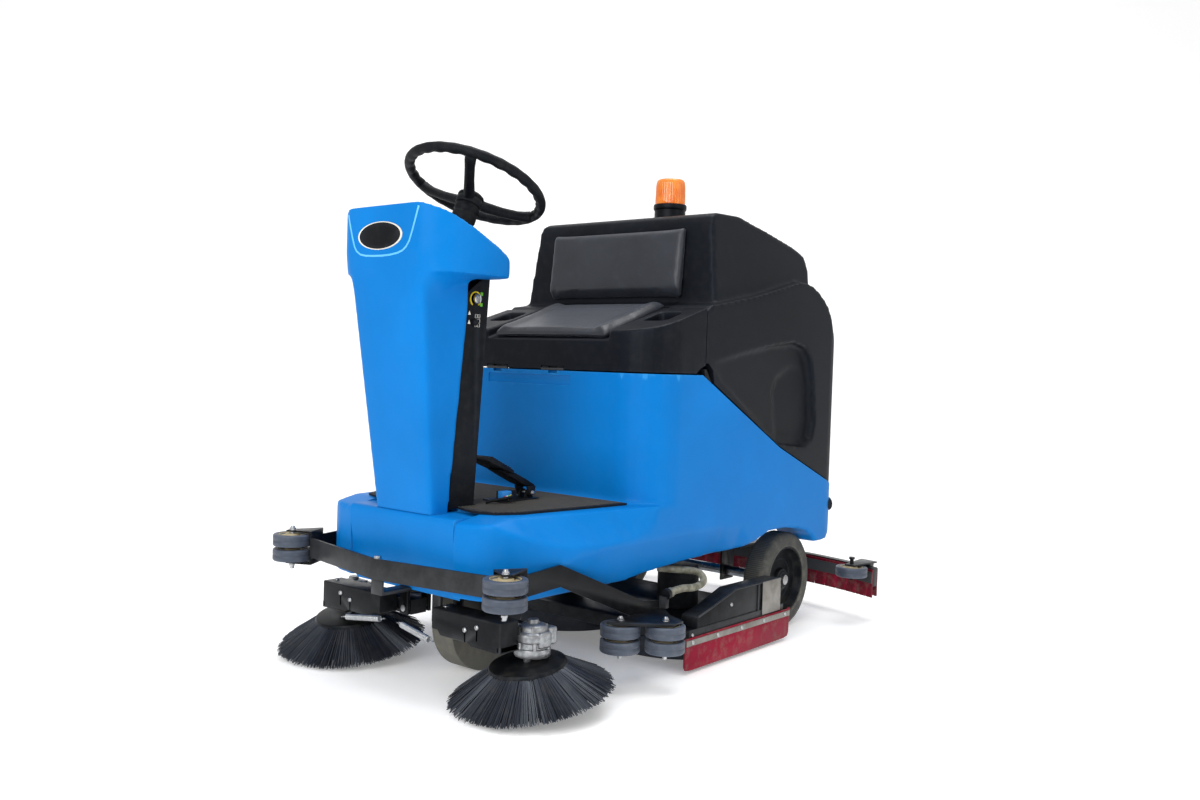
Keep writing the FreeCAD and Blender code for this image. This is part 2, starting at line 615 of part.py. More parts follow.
def makeSqueegee(roller_bolt):
    blades = [arcBand(0, 5, blade_bottom, blade_top), arcBand(34, 5, blade_bottom, blade_top)]
    save("squeegee_blades", *blades)
    body = arcBand(5.3, 28.4, blade_bottom + 34, blade_top + 4)
    body = body.cut(arcBand(12, 15, blade_bottom + 20, blade_bottom + 60, half=430))
    beam = box(-60, 60, 653, 830, 186, 198).fuse(box(-60, 60, 649, 657, 186, 330))
    beam = beam.fuse(box(-20, 20, 790, 835, 170, 192))
    frame = body.fuse(beam)
    for s in (-1, 1):
        x, y, z = squeegee_roller
        stay = planPrism([(s * 440, y + 120), (s * 500, y + 110), (s * 482, y - 14), (s * 448, y - 14)], 184.5, 189.5)
        stay = stay.cut(cylinder(bolt_radius, 40, Vec(s * x, y, 170)))
        drop = box(min(s * 445, s * 485), max(s * 445, s * 485), y + 90, y + 118, 168, 187)
        frame = frame.fuse(stay.fuse(drop).cut(blades[1]).cut(blades[0]))
    frame = frame.cut(blades[0]).cut(blades[1])
    save("squeegee_frame", max(frame.Solids, key=lambda solid: solid.Volume))
    clamps = [arcBand(40.5, 3, blade_bottom + 46, blade_top - 8)]
    save("squeegee_clamp", *clamps, roller_bolt, mirrored(roller_bolt))


makeFrame()
makeAxles()
makeHull()
makeNose()
makeColumn()
makeSteering()
makeControls()
makePedal()
makeMat()
makeHood()
makeTank()
makeBeacon()
makeBatteries()
makeBumper()
squeegee_bolt = makeRollers()
makeRearWheels()
makeDriveUnit()
makeSideBrushes()
makeSprings()
makeDeck()
makeHose()
makeSqueegee(squeegee_bolt)
print(len(os.listdir("parts")), "parts")
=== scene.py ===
import json
import math

import bmesh
import bpy
from mathutils import Matrix, Vector

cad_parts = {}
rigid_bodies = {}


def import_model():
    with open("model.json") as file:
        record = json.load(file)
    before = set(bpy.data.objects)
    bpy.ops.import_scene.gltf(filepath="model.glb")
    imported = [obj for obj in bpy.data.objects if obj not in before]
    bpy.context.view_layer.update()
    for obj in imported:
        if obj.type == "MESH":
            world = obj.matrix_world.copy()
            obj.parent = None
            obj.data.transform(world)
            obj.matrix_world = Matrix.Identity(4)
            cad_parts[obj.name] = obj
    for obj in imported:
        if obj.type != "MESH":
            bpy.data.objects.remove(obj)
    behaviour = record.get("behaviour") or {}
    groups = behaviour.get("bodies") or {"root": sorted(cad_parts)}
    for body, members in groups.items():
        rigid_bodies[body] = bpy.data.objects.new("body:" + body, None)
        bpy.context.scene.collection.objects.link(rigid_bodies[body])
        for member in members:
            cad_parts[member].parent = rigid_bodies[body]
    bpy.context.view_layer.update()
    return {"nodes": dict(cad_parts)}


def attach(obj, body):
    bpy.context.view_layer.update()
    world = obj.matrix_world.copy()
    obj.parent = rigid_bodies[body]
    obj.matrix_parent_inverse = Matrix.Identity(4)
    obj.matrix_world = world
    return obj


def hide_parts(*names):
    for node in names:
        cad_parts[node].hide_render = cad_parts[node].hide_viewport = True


# Ride-on floor sweeper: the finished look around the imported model.
# Outlines are in millimetres in the model's own frame; meshes are made in metres.

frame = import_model()
nodes = frame["nodes"]
scene = bpy.context.scene


# Small tools for meshes.

def inMetres(*values):
    return Vector(values) / 1000


def at(x, y, z, turn=0, axis="Z"):
    # a place in millimetres, with a turn in degrees round one axis
    return Matrix.Translation(inMetres(x, y, z)) @ Matrix.Rotation(math.radians(turn), 4, axis)


def towards(direction):
    # turns Z to the direction
    return Vector(direction).to_track_quat("Z", "Y").to_matrix().to_4x4()


def newPiece(name, shape):
    mesh = bpy.data.meshes.new(name)
    shape.to_mesh(mesh)
    shape.free()
    piece = bpy.data.objects.new(name, mesh)
    scene.collection.objects.link(piece)
    return piece


def settle(piece):
    # what the modifiers show becomes the mesh
    bpy.context.view_layer.update()
    view = bpy.context.evaluated_depsgraph_get()
    mesh = bpy.data.meshes.new_from_object(piece.evaluated_get(view))
    old = piece.data
    piece.modifiers.clear()
    piece.data = mesh
    if old.users == 0:
        bpy.data.meshes.remove(old)
    return piece


def skin(rings, ends=True):
    # closed solid through rings of points with the same count
    shape = bmesh.new()
    loops = [[shape.verts.new(inMetres(*point)) for point in ring] for ring in rings]
    count = len(loops[0])
    for lower, upper in zip(loops, loops[1:] + ([] if ends else loops[:1])):
        for i in range(count):
            j = (i + 1) % count
            shape.faces.new((lower[i], lower[j], upper[j], upper[i]))
    if ends:
        shape.faces.new(loops[0])
        shape.faces.new(loops[-1])
    bmesh.ops.recalc_face_normals(shape, faces=shape.faces)
    return newPiece("skin", shape)


def solid(outline, axis, low, high):
    # closed prism: axis x takes (y, z) points, y takes (x, z) and z takes (x, y)
    orders = {"x": lambda a, b, level: (level, a, b), "y": lambda a, b, level: (a, level, b),
              "z": lambda a, b, level: (a, b, level)}
    return skin([[orders[axis](a, b, level) for a, b in outline] for level in (low, high)])


def block(x0, x1, y0, y1, z0, z1):
    return solid([(x0, y0), (x1, y0), (x1, y1), (x0, y1)], "z", z0, z1)


def curved(points, steps=4):
    # smooth line through the points
    line = []
    for i in range(len(points) - 1):
        a, b, c, d = (Vector(points[min(max(k, 0), len(points) - 1)]) for k in (i - 1, i, i + 1, i + 2))
        for j in range(steps):
            t = j / steps
            line.append(tuple(0.5 * (2 * b + (c - a) * t + (2 * a - 5 * b + 4 * c - d) * t * t
                                     + (3 * b - a - 3 * c + d) * t ** 3)))
    return line + [tuple(points[-1])]


def mirroredOutline(half):
    return half + [(-x, y) for x, y in reversed(half)]


def loftSolid(sections):
    # sections are (z, half outline) pairs
    return skin([[(x, y, z) for x, y in mirroredOutline(half)] for z, half in sections])


def lathe(profile, place=Matrix.Identity(4), steps=48):
    # closed ring of (radius, height) points in millimetres turned round Z, then placed
    shape = bmesh.new()
    rings = []
    for i in range(steps):
        turn = 2 * math.pi * i / steps
        rings.append([shape.verts.new(place @ inMetres(r * math.cos(turn), r * math.sin(turn), z)) for r,
                      z in profile])
    for i in range(steps):
        ring, following = rings[i], rings[(i + 1) % steps]
        for j in range(len(profile)):
            k = (j + 1) % len(profile)
            shape.faces.new((ring[j], ring[k], following[k], following[j]))
    bmesh.ops.remove_doubles(shape, verts=shape.verts, dist=1e-6)
    bmesh.ops.recalc_face_normals(shape, faces=shape.faces)
    return newPiece("lathe", shape)


def tubeAlong(points, radius, sides=10, loop=False, squashed=1.0):
    # round bar through points in millimetres, closed at its ends
    spots = [Vector(point) for point in points]
    count = len(spots)
    rings = []
    side = None
    for i, spot in enumerate(spots):
        before = spots[(i - 1) % count] if loop or i else spot
        after = spots[(i + 1) % count] if loop or i < count - 1 else spot
        along = (after - before).normalized()
        side = along.orthogonal().normalized() if side is None else side
        side = (side - along * side.dot(along)).normalized()
        up = along.cross(side)
        size = radius[i] if isinstance(radius, (list, tuple)) else radius
        turns = [2 * math.pi * j / sides for j in range(sides)]
        rings.append([spot + size * (math.cos(turn) * side + squashed * math.sin(turn) * up)
                      for turn in turns])
    return skin(rings, not loop)


def carve(target, tools, operation="DIFFERENCE"):
    for tool in tools:
        cut = target.modifiers.new("cut", "BOOLEAN")
        cut.operation, cut.object, cut.solver = operation, tool, "EXACT"
        settle(target)
        bpy.data.objects.remove(tool)
    return target


def weld(name, parts):
    # several pieces become one object
    shape = bmesh.new()
    for part in parts:
        part.data.transform(part.matrix_world)
        shape.from_mesh(part.data)
        bpy.data.objects.remove(part)
    return newPiece(name, shape)


def soften(piece, voxel, passes, share=0.5):
    # moulded look: even mesh, rounded edges, then fewer faces
    remesh = piece.modifiers.new("remesh", "REMESH")
    remesh.mode, remesh.voxel_size = "VOXEL", voxel / 1000
    smooth = piece.modifiers.new("smooth", "SMOOTH")
    smooth.factor, smooth.iterations = 0.5, passes
    if share < 1:
        fewer = piece.modifiers.new("fewer", "DECIMATE")
        fewer.ratio = share
    return settle(piece)


def rounded(piece, width, segments=3, angle=30):
    bevel = piece.modifiers.new("bevel", "BEVEL")
    bevel.width, bevel.segments = width / 1000, segments
    bevel.limit_method, bevel.angle_limit = "ANGLE", math.radians(angle)
    return settle(piece)


def shadeSmooth(piece, angle=35):
    piece.data.shade_smooth()
    shape = bmesh.new()
    shape.from_mesh(piece.data)
    for edge in shape.edges:
        edge.smooth = len(edge.link_faces) == 2 and edge.calc_face_angle(0) < math.radians(angle)
    shape.to_mesh(piece.data)
    shape.free()
    return piece


def finishPiece(piece, name, body, material, replaced=(), angle=35):
    piece.name = piece.data.name = name
    piece.data.materials.clear()
    piece.data.materials.append(finishes[material])
    shadeSmooth(piece, angle)
    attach(piece, body)
    if replaced:
        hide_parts(*replaced)
    return piece


def mirrorMesh(piece):
    # the right-hand copy of a left-hand piece
    shape = bmesh.new()
    shape.from_mesh(piece.data)
    bmesh.ops.scale(shape, vec=(-1, 1, 1), verts=shape.verts)
    bmesh.ops.reverse_faces(shape, faces=shape.faces)
    return newPiece("mirrored", shape)


def cadCopy(node, width=0.0, segments=2):
    # a CAD node's mesh, merged and with its edges softened
    shape = bmesh.new()
    shape.from_mesh(nodes[node].data)
    bmesh.ops.remove_doubles(shape, verts=shape.verts, dist=1e-5)
    bmesh.ops.dissolve_limit(shape, angle_limit=math.radians(1), verts=shape.verts, edges=shape.edges)
    piece = newPiece(node, shape)
    return rounded(piece, width, segments, 40) if width else piece


# Materials.

class Wire:
    # one socket of a material; sums on it add Math nodes and make() adds any other node
    def __init__(self, tree, socket=None):
        self.tree, self.socket = tree, socket

    def make(self, kind, settings=None, inputs=None, output=0):
        node = self.tree.nodes.new(kind)
        for name, value in (settings or {}).items():
            if name == "stops":
                stops = node.color_ramp.elements
                while len(stops) < len(value):
                    stops.new(1.0)
                for i, (position, colour) in enumerate(value):
                    stops[i].position, stops[i].color = position, colour
            else:
                setattr(node, name, value)
        for key, value in (inputs or {}).items():
            if isinstance(value, Wire):
                self.tree.links.new(value.socket, node.inputs[key])
            else:
                node.inputs[key].default_value = value
        return Wire(self.tree, node.outputs[output])

    def sum(self, operation, first, second):
        return self.make("ShaderNodeMath", {"operation": operation}, {0: first, 1: second})

    def __add__(self, other):
        return self.sum("ADD", self, other)

    def __radd__(self, other):
        return self.sum("ADD", other, self)

    def __sub__(self, other):
        return self.sum("SUBTRACT", self, other)

    def __rsub__(self, other):
        return self.sum("SUBTRACT", other, self)

    def __mul__(self, other):
        return self.sum("MULTIPLY", self, other)

    def __rmul__(self, other):
        return self.sum("MULTIPLY", other, self)

    def between(self, low, high):
        return self.make("ShaderNodeMapRange", {"interpolation_type": "SMOOTHSTEP"},
                         {"Value": self, "From Min": low, "From Max": high})


def linear(hexCode):
    # sRGB hex text to a linear colour
    values = [int(hexCode[i:i + 2], 16) / 255 for i in (0, 2, 4)]
    return (*[v / 12.92 if v < 0.04045 else ((v + 0.055) / 1.055) ** 2.4 for v in values], 1)


def startMaterial(name):
    material = bpy.data.materials.new(name)
    material.use_nodes = True
    tree = material.node_tree
    tree.nodes.clear()
    shader = tree.nodes.new("ShaderNodeBsdfPrincipled")
    out = tree.nodes.new("ShaderNodeOutputMaterial")
    tree.links.new(shader.outputs[0], out.inputs["Surface"])
    start = Wire(tree)
    place = start.make("ShaderNodeTexCoord", output="Object")
    return material, start, shader, place


def noise(start, place, scale, detail=2.0, rough=0.5, stretch=None):
    where = place
    if stretch:
        where = start.make("ShaderNodeMapping", inputs={"Vector": place, "Scale": stretch})
    return start.make("ShaderNodeTexNoise", inputs={"Vector": where, "Scale": scale, "Detail": detail,
                                                    "Roughness": rough})


def mixColour(start, factor, first, second):
    return start.make("ShaderNodeMix", {"data_type": "RGBA"}, {"Factor": factor, 6: first, 7: second},
                      output=2)


def plug(start, shader, links, constants):
    for name, wire in links.items():
        start.tree.links.new(wire.socket, shader.inputs[name])
    for name, value in constants.items():
        shader.inputs[name].default_value = value


surfaceLooks = {
    # mottle is the slow second colour; grain is its size (1/m) and depth its height in the bump
    "blueShell": {"colour": "0470BC", "mottle": "0678C8", "worn": "4FB4F2", "rough": 0.40, "shine": 0.10,
                  "grain": 620, "depth": 0.10, "wear": 0.30, "dust": 0.03},
    # lighter blue for the bead on the head's U line: a painted highlight where a ledge would catch the light
    # from above
    "paintedHighlightBlue": {"colour": "52B4F4", "mottle": "64C0FA", "worn": "9AD8FF", "rough": 0.35, "shine": 0.4,
                 "grain": 620, "depth": 0.05, "wear": 0.3, "dust": 0.02},
    "blackShell": {"colour": "0B0D12", "mottle": "11141B", "worn": "343A46", "rough": 0.46, "shine": 0.14,
                   "grain": 520, "depth": 0.30, "wear": 0.35, "dust": 0.05},
    "blackPlastic": {"colour": "090A0C", "mottle": "0F1114", "worn": "2E3137", "rough": 0.42, "shine": 0.14,
                     "grain": 700, "depth": 0.15, "wear": 0.3, "dust": 0.05},
    "blackRubber": {"colour": "08090A", "mottle": "0E0F12", "worn": "2A2C31", "rough": 0.55, "shine": 0.16,
                    "grain": 420, "depth": 0.25, "wear": 0.3, "dust": 0.08},
    "rollerGrey": {"colour": "3E444F", "mottle": "49505C", "worn": "8089A0", "rough": 0.46, "shine": 0.35,
                   "grain": 300, "depth": 0.12, "wear": 0.5, "dust": 0.10},
    "hubCream": {"colour": "A89A76", "mottle": "BAAD8C", "worn": "6E644B", "rough": 0.5, "shine": 0.4,
                 "grain": 400, "depth": 0.1, "wear": 0.5, "dust": 0.2},
    "tyreGrey": {"colour": "454542", "mottle": "52524E", "worn": "7C7A70", "rough": 0.7, "shine": 0.2,
                 "grain": 260, "depth": 0.35, "wear": 0.5, "dust": 0.25},
    "bristle": {"colour": "08090C", "mottle": "14161B", "worn": "343842", "rough": 0.38, "shine": 0.5,
                "grain": 900, "depth": 0.05, "wear": 0.6, "dust": 0.06},
    "redRubber": {"colour": "7E1029", "mottle": "921731", "worn": "540F1B", "rough": 0.5, "shine": 0.12,
                  "grain": 180, "depth": 0.25, "wear": 0.7, "dust": 0.2},
    "matRib": {"colour": "26272B", "mottle": "33322F", "worn": "5A5751", "rough": 0.5, "shine": 0.4,
               "grain": 420, "depth": 0.2, "wear": 0.5, "dust": 0.2},
    "batteryGrey": {"colour": "1F2125", "mottle": "292B30", "worn": "4A4D53", "rough": 0.5, "shine": 0.4,
                    "grain": 500, "depth": 0.2, "wear": 0.2, "dust": 0.2},
    "creamMark": {"colour": "E4DED0", "mottle": "EFEADF", "worn": "B8B09C", "rough": 0.35, "shine": 0.5,
                  "grain": 900, "depth": 0.05, "wear": 0.3, "dust": 0.05},
    "yellowMark": {"colour": "D9B90F", "mottle": "E6C71C", "worn": "8C7A17", "rough": 0.4, "shine": 0.4,
                   "grain": 900, "depth": 0.05, "wear": 0.3, "dust": 0.05},
    "greenMark": {"colour": "5BB32A", "mottle": "69C136", "worn": "3D7A20", "rough": 0.4, "shine": 0.4,
                  "grain": 900, "depth": 0.05, "wear": 0.3, "dust": 0.05},
    "redWire": {"colour": "B5171C", "mottle": "C72226", "worn": "6E1013", "rough": 0.4, "shine": 0.5,
                "grain": 900, "depth": 0.05, "wear": 0.2, "dust": 0.05},
    "whiteWire": {"colour": "D8D8D4", "mottle": "E4E4E0", "worn": "9A9A94", "rough": 0.4, "shine": 0.5,
                  "grain": 900, "depth": 0.05, "wear": 0.2, "dust": 0.05},
    "connectorBlue": {"colour": "1F78C8", "mottle": "2A86D6", "worn": "155088", "rough": 0.38, "shine": 0.5,
                      "grain": 900, "depth": 0.05, "wear": 0.2, "dust": 0.05},
}


def plasticFinish(name, look):
    material, start, shader, place = startMaterial(name)
    height = start.make("ShaderNodeSeparateXYZ", inputs={"Vector": place}, output=2)
    slow = noise(start, place, 3.5, 3)
    patch = noise(start, place, 38, 4, 0.6)
    grain = noise(start, place, look["grain"], 2, 0.6)
    edge = start.make("ShaderNodeNewGeometry", output="Pointiness")
    worn = (edge + (patch - 0.5) * 0.05).between(0.525, 0.60) * look["wear"]
    colour = mixColour(start, slow.between(0.3, 0.7), linear(look["colour"]), linear(look["mottle"]))
    colour = mixColour(start, worn, colour, linear(look["worn"]))
    lowDown = 1 - height.between(0.02, 0.45)
    dusty = patch.between(0.42, 0.75) * (0.35 + lowDown) * look["dust"]
    colour = mixColour(start, dusty, colour, linear("8B8578"))
    rough = look["rough"] + (patch - 0.5) * 0.14 + (slow - 0.5) * 0.10 + dusty * 0.3
    bump = start.make("ShaderNodeBump", inputs={"Strength": look["depth"], "Distance": 0.0006,
                                                "Height": grain + patch * 0.5})
    plug(start, shader, {"Base Color": colour, "Roughness": rough, "Normal": bump},
         {"Specular IOR Level": look["shine"], "Specular Tint": (0.78, 0.87, 1.0, 1)})
    return material


metalLooks = {
    "zinc": {"colour": "BDBFC0", "second": "A6A8AA", "rough": 0.30, "metal": 1.0, "rust": 0.0, "scale": 60},
    "bareSteel": {"colour": "8C8984", "second": "7A766F", "rough": 0.42, "metal": 0.8, "rust": 0.2,
                  "scale": 24},
    "gearboxAluminium": {"colour": "A9ABAD", "second": "85878A", "rough": 0.42, "metal": 0.85, "rust": 0.0,
                         "scale": 90},
    "blackPaint": {"colour": "090A0D", "second": "101216", "rough": 0.36, "metal": 0.0, "rust": 0.0,
                   "scale": 30},
    "motorPaint": {"colour": "15171A", "second": "1E2024", "rough": 0.45, "metal": 0.0, "rust": 0.0,
                   "scale": 40},
}


def metalFinish(name, look):
    material, start, shader, place = startMaterial(name)
    blotch = noise(start, place, look["scale"], 5, 0.62)
    fine = noise(start, place, 850, 2)
    scratch = noise(start, place, 220, 2, 0.5, (1, 14, 14))
    edge = start.make("ShaderNodeNewGeometry", output="Pointiness")
    worn = (edge + (blotch - 0.5) * 0.04).between(0.53, 0.61)
    colour = mixColour(start, blotch.between(0.35, 0.68), linear(look["colour"]), linear(look["second"]))
    if look["rust"]:
        colour = mixColour(start, blotch.between(0.60, 0.74) * look["rust"], colour, linear("6B4A2E"))
    if not look["metal"]:
        colour = mixColour(start, worn * 0.45, colour, linear("5C5E60"))
    rough = look["rough"] + (blotch - 0.5) * 0.22 + (scratch - 0.5) * 0.10
    bump = start.make("ShaderNodeBump", inputs={"Strength": 0.18, "Distance": 0.0004,
                                                "Height": fine + scratch * 0.5 + blotch * 0.6})
    plug(start, shader, {"Base Color": colour, "Roughness": rough, "Normal": bump},
         {"Metallic": look["metal"], "Specular IOR Level": 0.5 if look["metal"] else 0.14})
    return material


def seatFinish(name):
    # leather-like vinyl: small pebbles between fine creases
    material, start, shader, place = startMaterial(name)
    cells = start.make("ShaderNodeTexVoronoi", {"feature": "DISTANCE_TO_EDGE"},
                       {"Vector": place, "Scale": 420.0})
    slow = noise(start, place, 5, 3)
    patch = noise(start, place, 45, 4)
    colour = mixColour(start, slow.between(0.3, 0.7), linear("1E2128"), linear("272B33"))
    colour = mixColour(start, patch.between(0.5, 0.8) * 0.25, colour, linear("3A3F4A"))
    rough = 0.40 + (patch - 0.5) * 0.16 + (slow - 0.5) * 0.08
    bump = start.make("ShaderNodeBump", inputs={"Strength": 0.22, "Distance": 0.0005,
                                                "Height": cells.between(0.0, 0.16) + patch * 0.6})
    plug(start, shader, {"Base Color": colour, "Roughness": rough, "Normal": bump},
         {"Specular IOR Level": 0.5, "Sheen Weight": 0.2, "Sheen Roughness": 0.35,
          "Sheen Tint": (0.75, 0.82, 1.0, 1)})
    return material


def amberFinish(name):
    material, start, shader, place = startMaterial(name)
    slow = noise(start, place, 30, 3)
    height = start.make("ShaderNodeSeparateXYZ", inputs={"Vector": place}, output=2)
    colour = mixColour(start, slow.between(0.35, 0.7), linear("F07A05"), linear("FF9416"))
    # the top of the lens is mixed towards a lighter amber: a painted highlight from the light above
    colour = mixColour(start, height.between(1.35, 1.385) * 0.35, colour, linear("FFB35A"))
    bump = start.make("ShaderNodeBump", inputs={"Strength": 0.1, "Distance": 0.0004, "Height": slow})
    plug(start, shader, {"Base Color": colour, "Roughness": 0.12 + (slow - 0.5) * 0.1, "Normal": bump,
                         "Emission Color": colour},
         {"Transmission Weight": 0.35, "IOR": 1.49, "Emission Strength": 0.04, "Coat Weight": 0.4,
          "Coat Roughness": 0.08})
    return material


def hoseFinish(name):
    # milky spiral hose with dark dirt in slow patches
    material, start, shader, place = startMaterial(name)
    slow = noise(start, place, 60, 4)
    colour = mixColour(start, slow.between(0.3, 0.75), linear("6E6C5E"), linear("A7A493"))
    bump = start.make("ShaderNodeBump", inputs={"Strength": 0.3, "Distance": 0.0004,
                                                "Height": noise(start, place, 700)})
    plug(start, shader, {"Base Color": colour, "Roughness": 0.32 + (slow - 0.5) * 0.2, "Normal": bump},
         {"Transmission Weight": 0.1, "IOR": 1.45})
    return material


finishes = {name: plasticFinish(name, look) for name, look in surfaceLooks.items()}
finishes.update({name: metalFinish(name, look) for name, look in metalLooks.items()})
finishes["seatVinyl"] = seatFinish("seatVinyl")
finishes["amberLens"] = amberFinish("amberLens")
finishes["clearHose"] = hoseFinish("clearHose")

slotFinish = {"blue_shell": "blueShell", "black_plastic": "blackPlastic", "seat_vinyl": "seatVinyl",
              "rubber_black": "blackRubber", "painted_steel": "blackPaint", "zinc_steel": "zinc",
              "grey_tyre": "tyreGrey", "roller_grey": "rollerGrey", "hub_plastic": "blackPlastic",
              "bristle_black": "bristle", "red_polyurethane": "redRubber",
              "gearbox_aluminium": "gearboxAluminium", "amber_lens": "amberLens",
              "battery_case": "batteryGrey",
              "hose_clear": "clearHose", "motor_paint": "motorPaint"}
for node in nodes.values():
    for holder in node.material_slots:
        name = holder.material.name.split(".")[0]
        holder.material = finishes[slotFinish.get(name, "blackPlastic")]
print("materials:", len(finishes))


# Geometry Nodes trees for what repeats.

class Tree:
    # a Geometry Nodes group with named inputs
    def __init__(self, name, inputs):
        self.group = bpy.data.node_groups.new(name, "GeometryNodeTree")
        face = self.group.interface
        face.new_socket("Geometry", in_out="OUTPUT", socket_type="NodeSocketGeometry")
        face.new_socket("Geometry", in_out="INPUT", socket_type="NodeSocketGeometry")
        self.ids = {}
        for label, kind, value in inputs:
            socket = face.new_socket(label, in_out="INPUT", socket_type="NodeSocket" + kind)
            self.ids[label] = socket.identifier
            if value is not None:
                socket.default_value = value
        self.source = self.group.nodes.new("NodeGroupInput")

    def given(self, label):
        return Wire(self.group, self.source.outputs[label])

    def start(self):
        return Wire(self.group)

    def close(self, geometry):
        real = geometry.make("GeometryNodeRealizeInstances", inputs={0: geometry})
        done = real.make("GeometryNodeSetMaterial",
                         inputs={"Geometry": real, "Material": self.given("Material")})
        out = self.group.nodes.new("NodeGroupOutput")
        self.group.links.new(done.socket, out.inputs[0])

    def run(self, piece, values):
        modifier = piece.modifiers.new("tree", "NODES")
        modifier.node_group = self.group
        for label, value in values.items():
            modifier[self.ids[label]] = value
        return settle(piece)


def makeBristleTree():
    tree = Tree("bristles",
                [("Count", "Int", 900), ("Root radius", "Float", 0.07), ("Root spread", "Float", 0.02),
                             ("Reach", "Float", 0.12), ("Drop", "Float", 0.066),
                 ("Thickness", "Float", 0.0012),
                             ("Uneven", "Float", 0.1), ("Seed", "Int", 4), ("Material", "Material", None)])
    s = tree.start()
    count, seed = tree.given("Count"), tree.given("Seed")
    index = s.make("GeometryNodeInputIndex")
    dice = [s.make("FunctionNodeRandomValue", {"data_type": "FLOAT"},
                   {2: 0.0, 3: 1.0, "ID": index, "Seed": seed + i},
                   output=1) for i in range(5)]
    goldenTurn = 2.399963
    turn = index * goldenTurn + dice[0] * 0.4
    radius = tree.given("Root radius") + dice[1] * tree.given("Root spread")
    lean = turn + (dice[2] - 0.5) * tree.given("Uneven")
    reach = tree.given("Reach") * (0.74 + dice[1] * 0.26 + (dice[3] - 0.5) * 0.10)
    cosTurn, sinTurn = (s.make("ShaderNodeMath", {"operation": op}, {0: turn}) for op in ("COSINE", "SINE"))
    cosLean, sinLean = (s.make("ShaderNodeMath", {"operation": op}, {0: lean}) for op in ("COSINE", "SINE"))
    spot = s.make("ShaderNodeCombineXYZ",
                  inputs={0: radius * cosTurn, 1: radius * sinTurn, 2: dice[1] * 0.004})
    along = s.make("ShaderNodeCombineXYZ",
                   inputs={0: reach * cosLean, 1: reach * sinLean, 2: tree.given("Drop") * -1})
    length = s.make("ShaderNodeVectorMath", {"operation": "LENGTH"}, {0: along}, output=1)
    points = s.make("GeometryNodePoints", inputs={"Count": count, "Position": spot})
    thick = tree.given("Thickness")
    strand = s.make("GeometryNodeMeshCone", {"fill_type": "NGON"},
                    {"Vertices": 4, "Side Segments": 1, "Radius Top": thick * 0.7, "Radius Bottom": thick,
                     "Depth": 1.0})
    turned = s.make("FunctionNodeAlignRotationToVector", {"axis": "Z"}, {"Vector": along})
    size = s.make("ShaderNodeCombineXYZ", inputs={0: 0.8 + dice[4] * 0.5, 1: 0.8 + dice[4] * 0.5, 2: length})
    placed = s.make("GeometryNodeInstanceOnPoints",
                    inputs={"Points": points, "Instance": strand, "Rotation": turned,
                                                            "Scale": size})
    tree.close(placed)
    return tree


def makePlacingTree():
    # puts a small piece on each point of a mesh, turned to the point's "facing" direction
    tree = Tree("placing", [("Piece", "Object", None), ("Size", "Float", 1.0), ("Seed", "Int", 3),
                            ("Turn", "Float", 0.0), ("Material", "Material", None)])
    s = tree.start()
    piece = s.make("GeometryNodeObjectInfo", inputs={"Object": tree.given("Piece")}, output="Geometry")
    facing = s.make("GeometryNodeInputNamedAttribute", {"data_type": "FLOAT_VECTOR"}, {"Name": "facing"})
    turned = s.make("FunctionNodeAlignRotationToVector", {"axis": "Z"}, {"Vector": facing})
    index = s.make("GeometryNodeInputIndex")
    dice = s.make("FunctionNodeRandomValue", {"data_type": "FLOAT"},
                  {2: 0.0, 3: 1.0, "ID": index, "Seed": tree.given("Seed")}, output=1)
    roll = s.make("ShaderNodeCombineXYZ", inputs={2: dice * tree.given("Turn")})
    rolled = s.make("FunctionNodeRotateRotation", {"rotation_space": "LOCAL"},
                    {"Rotation": turned,
                     "Rotate By": s.make("FunctionNodeEulerToRotation", inputs={"Euler": roll})})
    placed = s.make("GeometryNodeInstanceOnPoints",
                    inputs={"Points": tree.given("Geometry"), "Instance": piece,
                                                            "Rotation": rolled, "Scale": tree.given("Size")})
    tree.close(placed)
    return tree


def makeSpringTree():
    tree = Tree("spring", [("Turns", "Float", 20.0), ("Radius", "Float", 0.008), ("Length", "Float", 0.08),
                           ("Wire", "Float", 0.001), ("Material", "Material", None)])
    s = tree.start()
    spiral = s.make("GeometryNodeCurveSpiral", inputs={"Resolution": 14, "Rotations": tree.given("Turns"),
                                                       "Start Radius": tree.given("Radius"),
                                                       "End Radius": tree.given("Radius"),
                                                       "Height": tree.given("Length")})
    ring = s.make("GeometryNodeCurvePrimitiveCircle", inputs={"Resolution": 6, "Radius": tree.given("Wire")})
    wire = s.make("GeometryNodeCurveToMesh",
                  inputs={"Curve": spiral, "Profile Curve": ring, "Fill Caps": True})
    tree.close(wire)
    return tree


bristleTree = makeBristleTree()
placingTree = makePlacingTree()
springTree = makeSpringTree()


def placePieces(small, spots, material, turn=0.0):
    # spots are (point, facing) pairs in millimetres; small is used up
    shape = bmesh.new()
    layer = shape.verts.layers.float_vector.new("facing")
    for point, facing in spots:
        vert = shape.verts.new(inMetres(*point))
        vert[layer] = Vector(facing).normalized()
    holder = newPiece("spots", shape)
    placingTree.run(holder,
                    {"Piece": small, "Size": 1.0, "Seed": 3, "Turn": turn, "Material": finishes[material]})
    bpy.data.objects.remove(small)
    return holder


def hexBolt(across=15, height=6, washer=9.5):
    head = solid([(across / 1.732 * math.cos(math.radians(a)), across / 1.732 * math.sin(math.radians(a)))
                  for a in range(0, 360, 60)], "z", 1.2, height)
    rounded(head, 0.8, 2)
    disc = lathe([(0, 0), (washer, 0), (washer, 1.2), (washer - 0.5, 1.6), (0, 1.6)], steps=20)
    return weld("bolt", [head, disc])


def domeScrew(radius=7.0, height=4.5):
    profile = [(0, 0), (radius, 0)]
    for i in range(1, 6):
        turn = math.radians(90 * i / 6)
        profile.append((radius * math.cos(turn), height * math.sin(turn)))
    profile += [(radius * 0.38, height * 0.98), (radius * 0.34, height * 0.45), (0, height * 0.45)]
    return lathe(profile, steps=18)


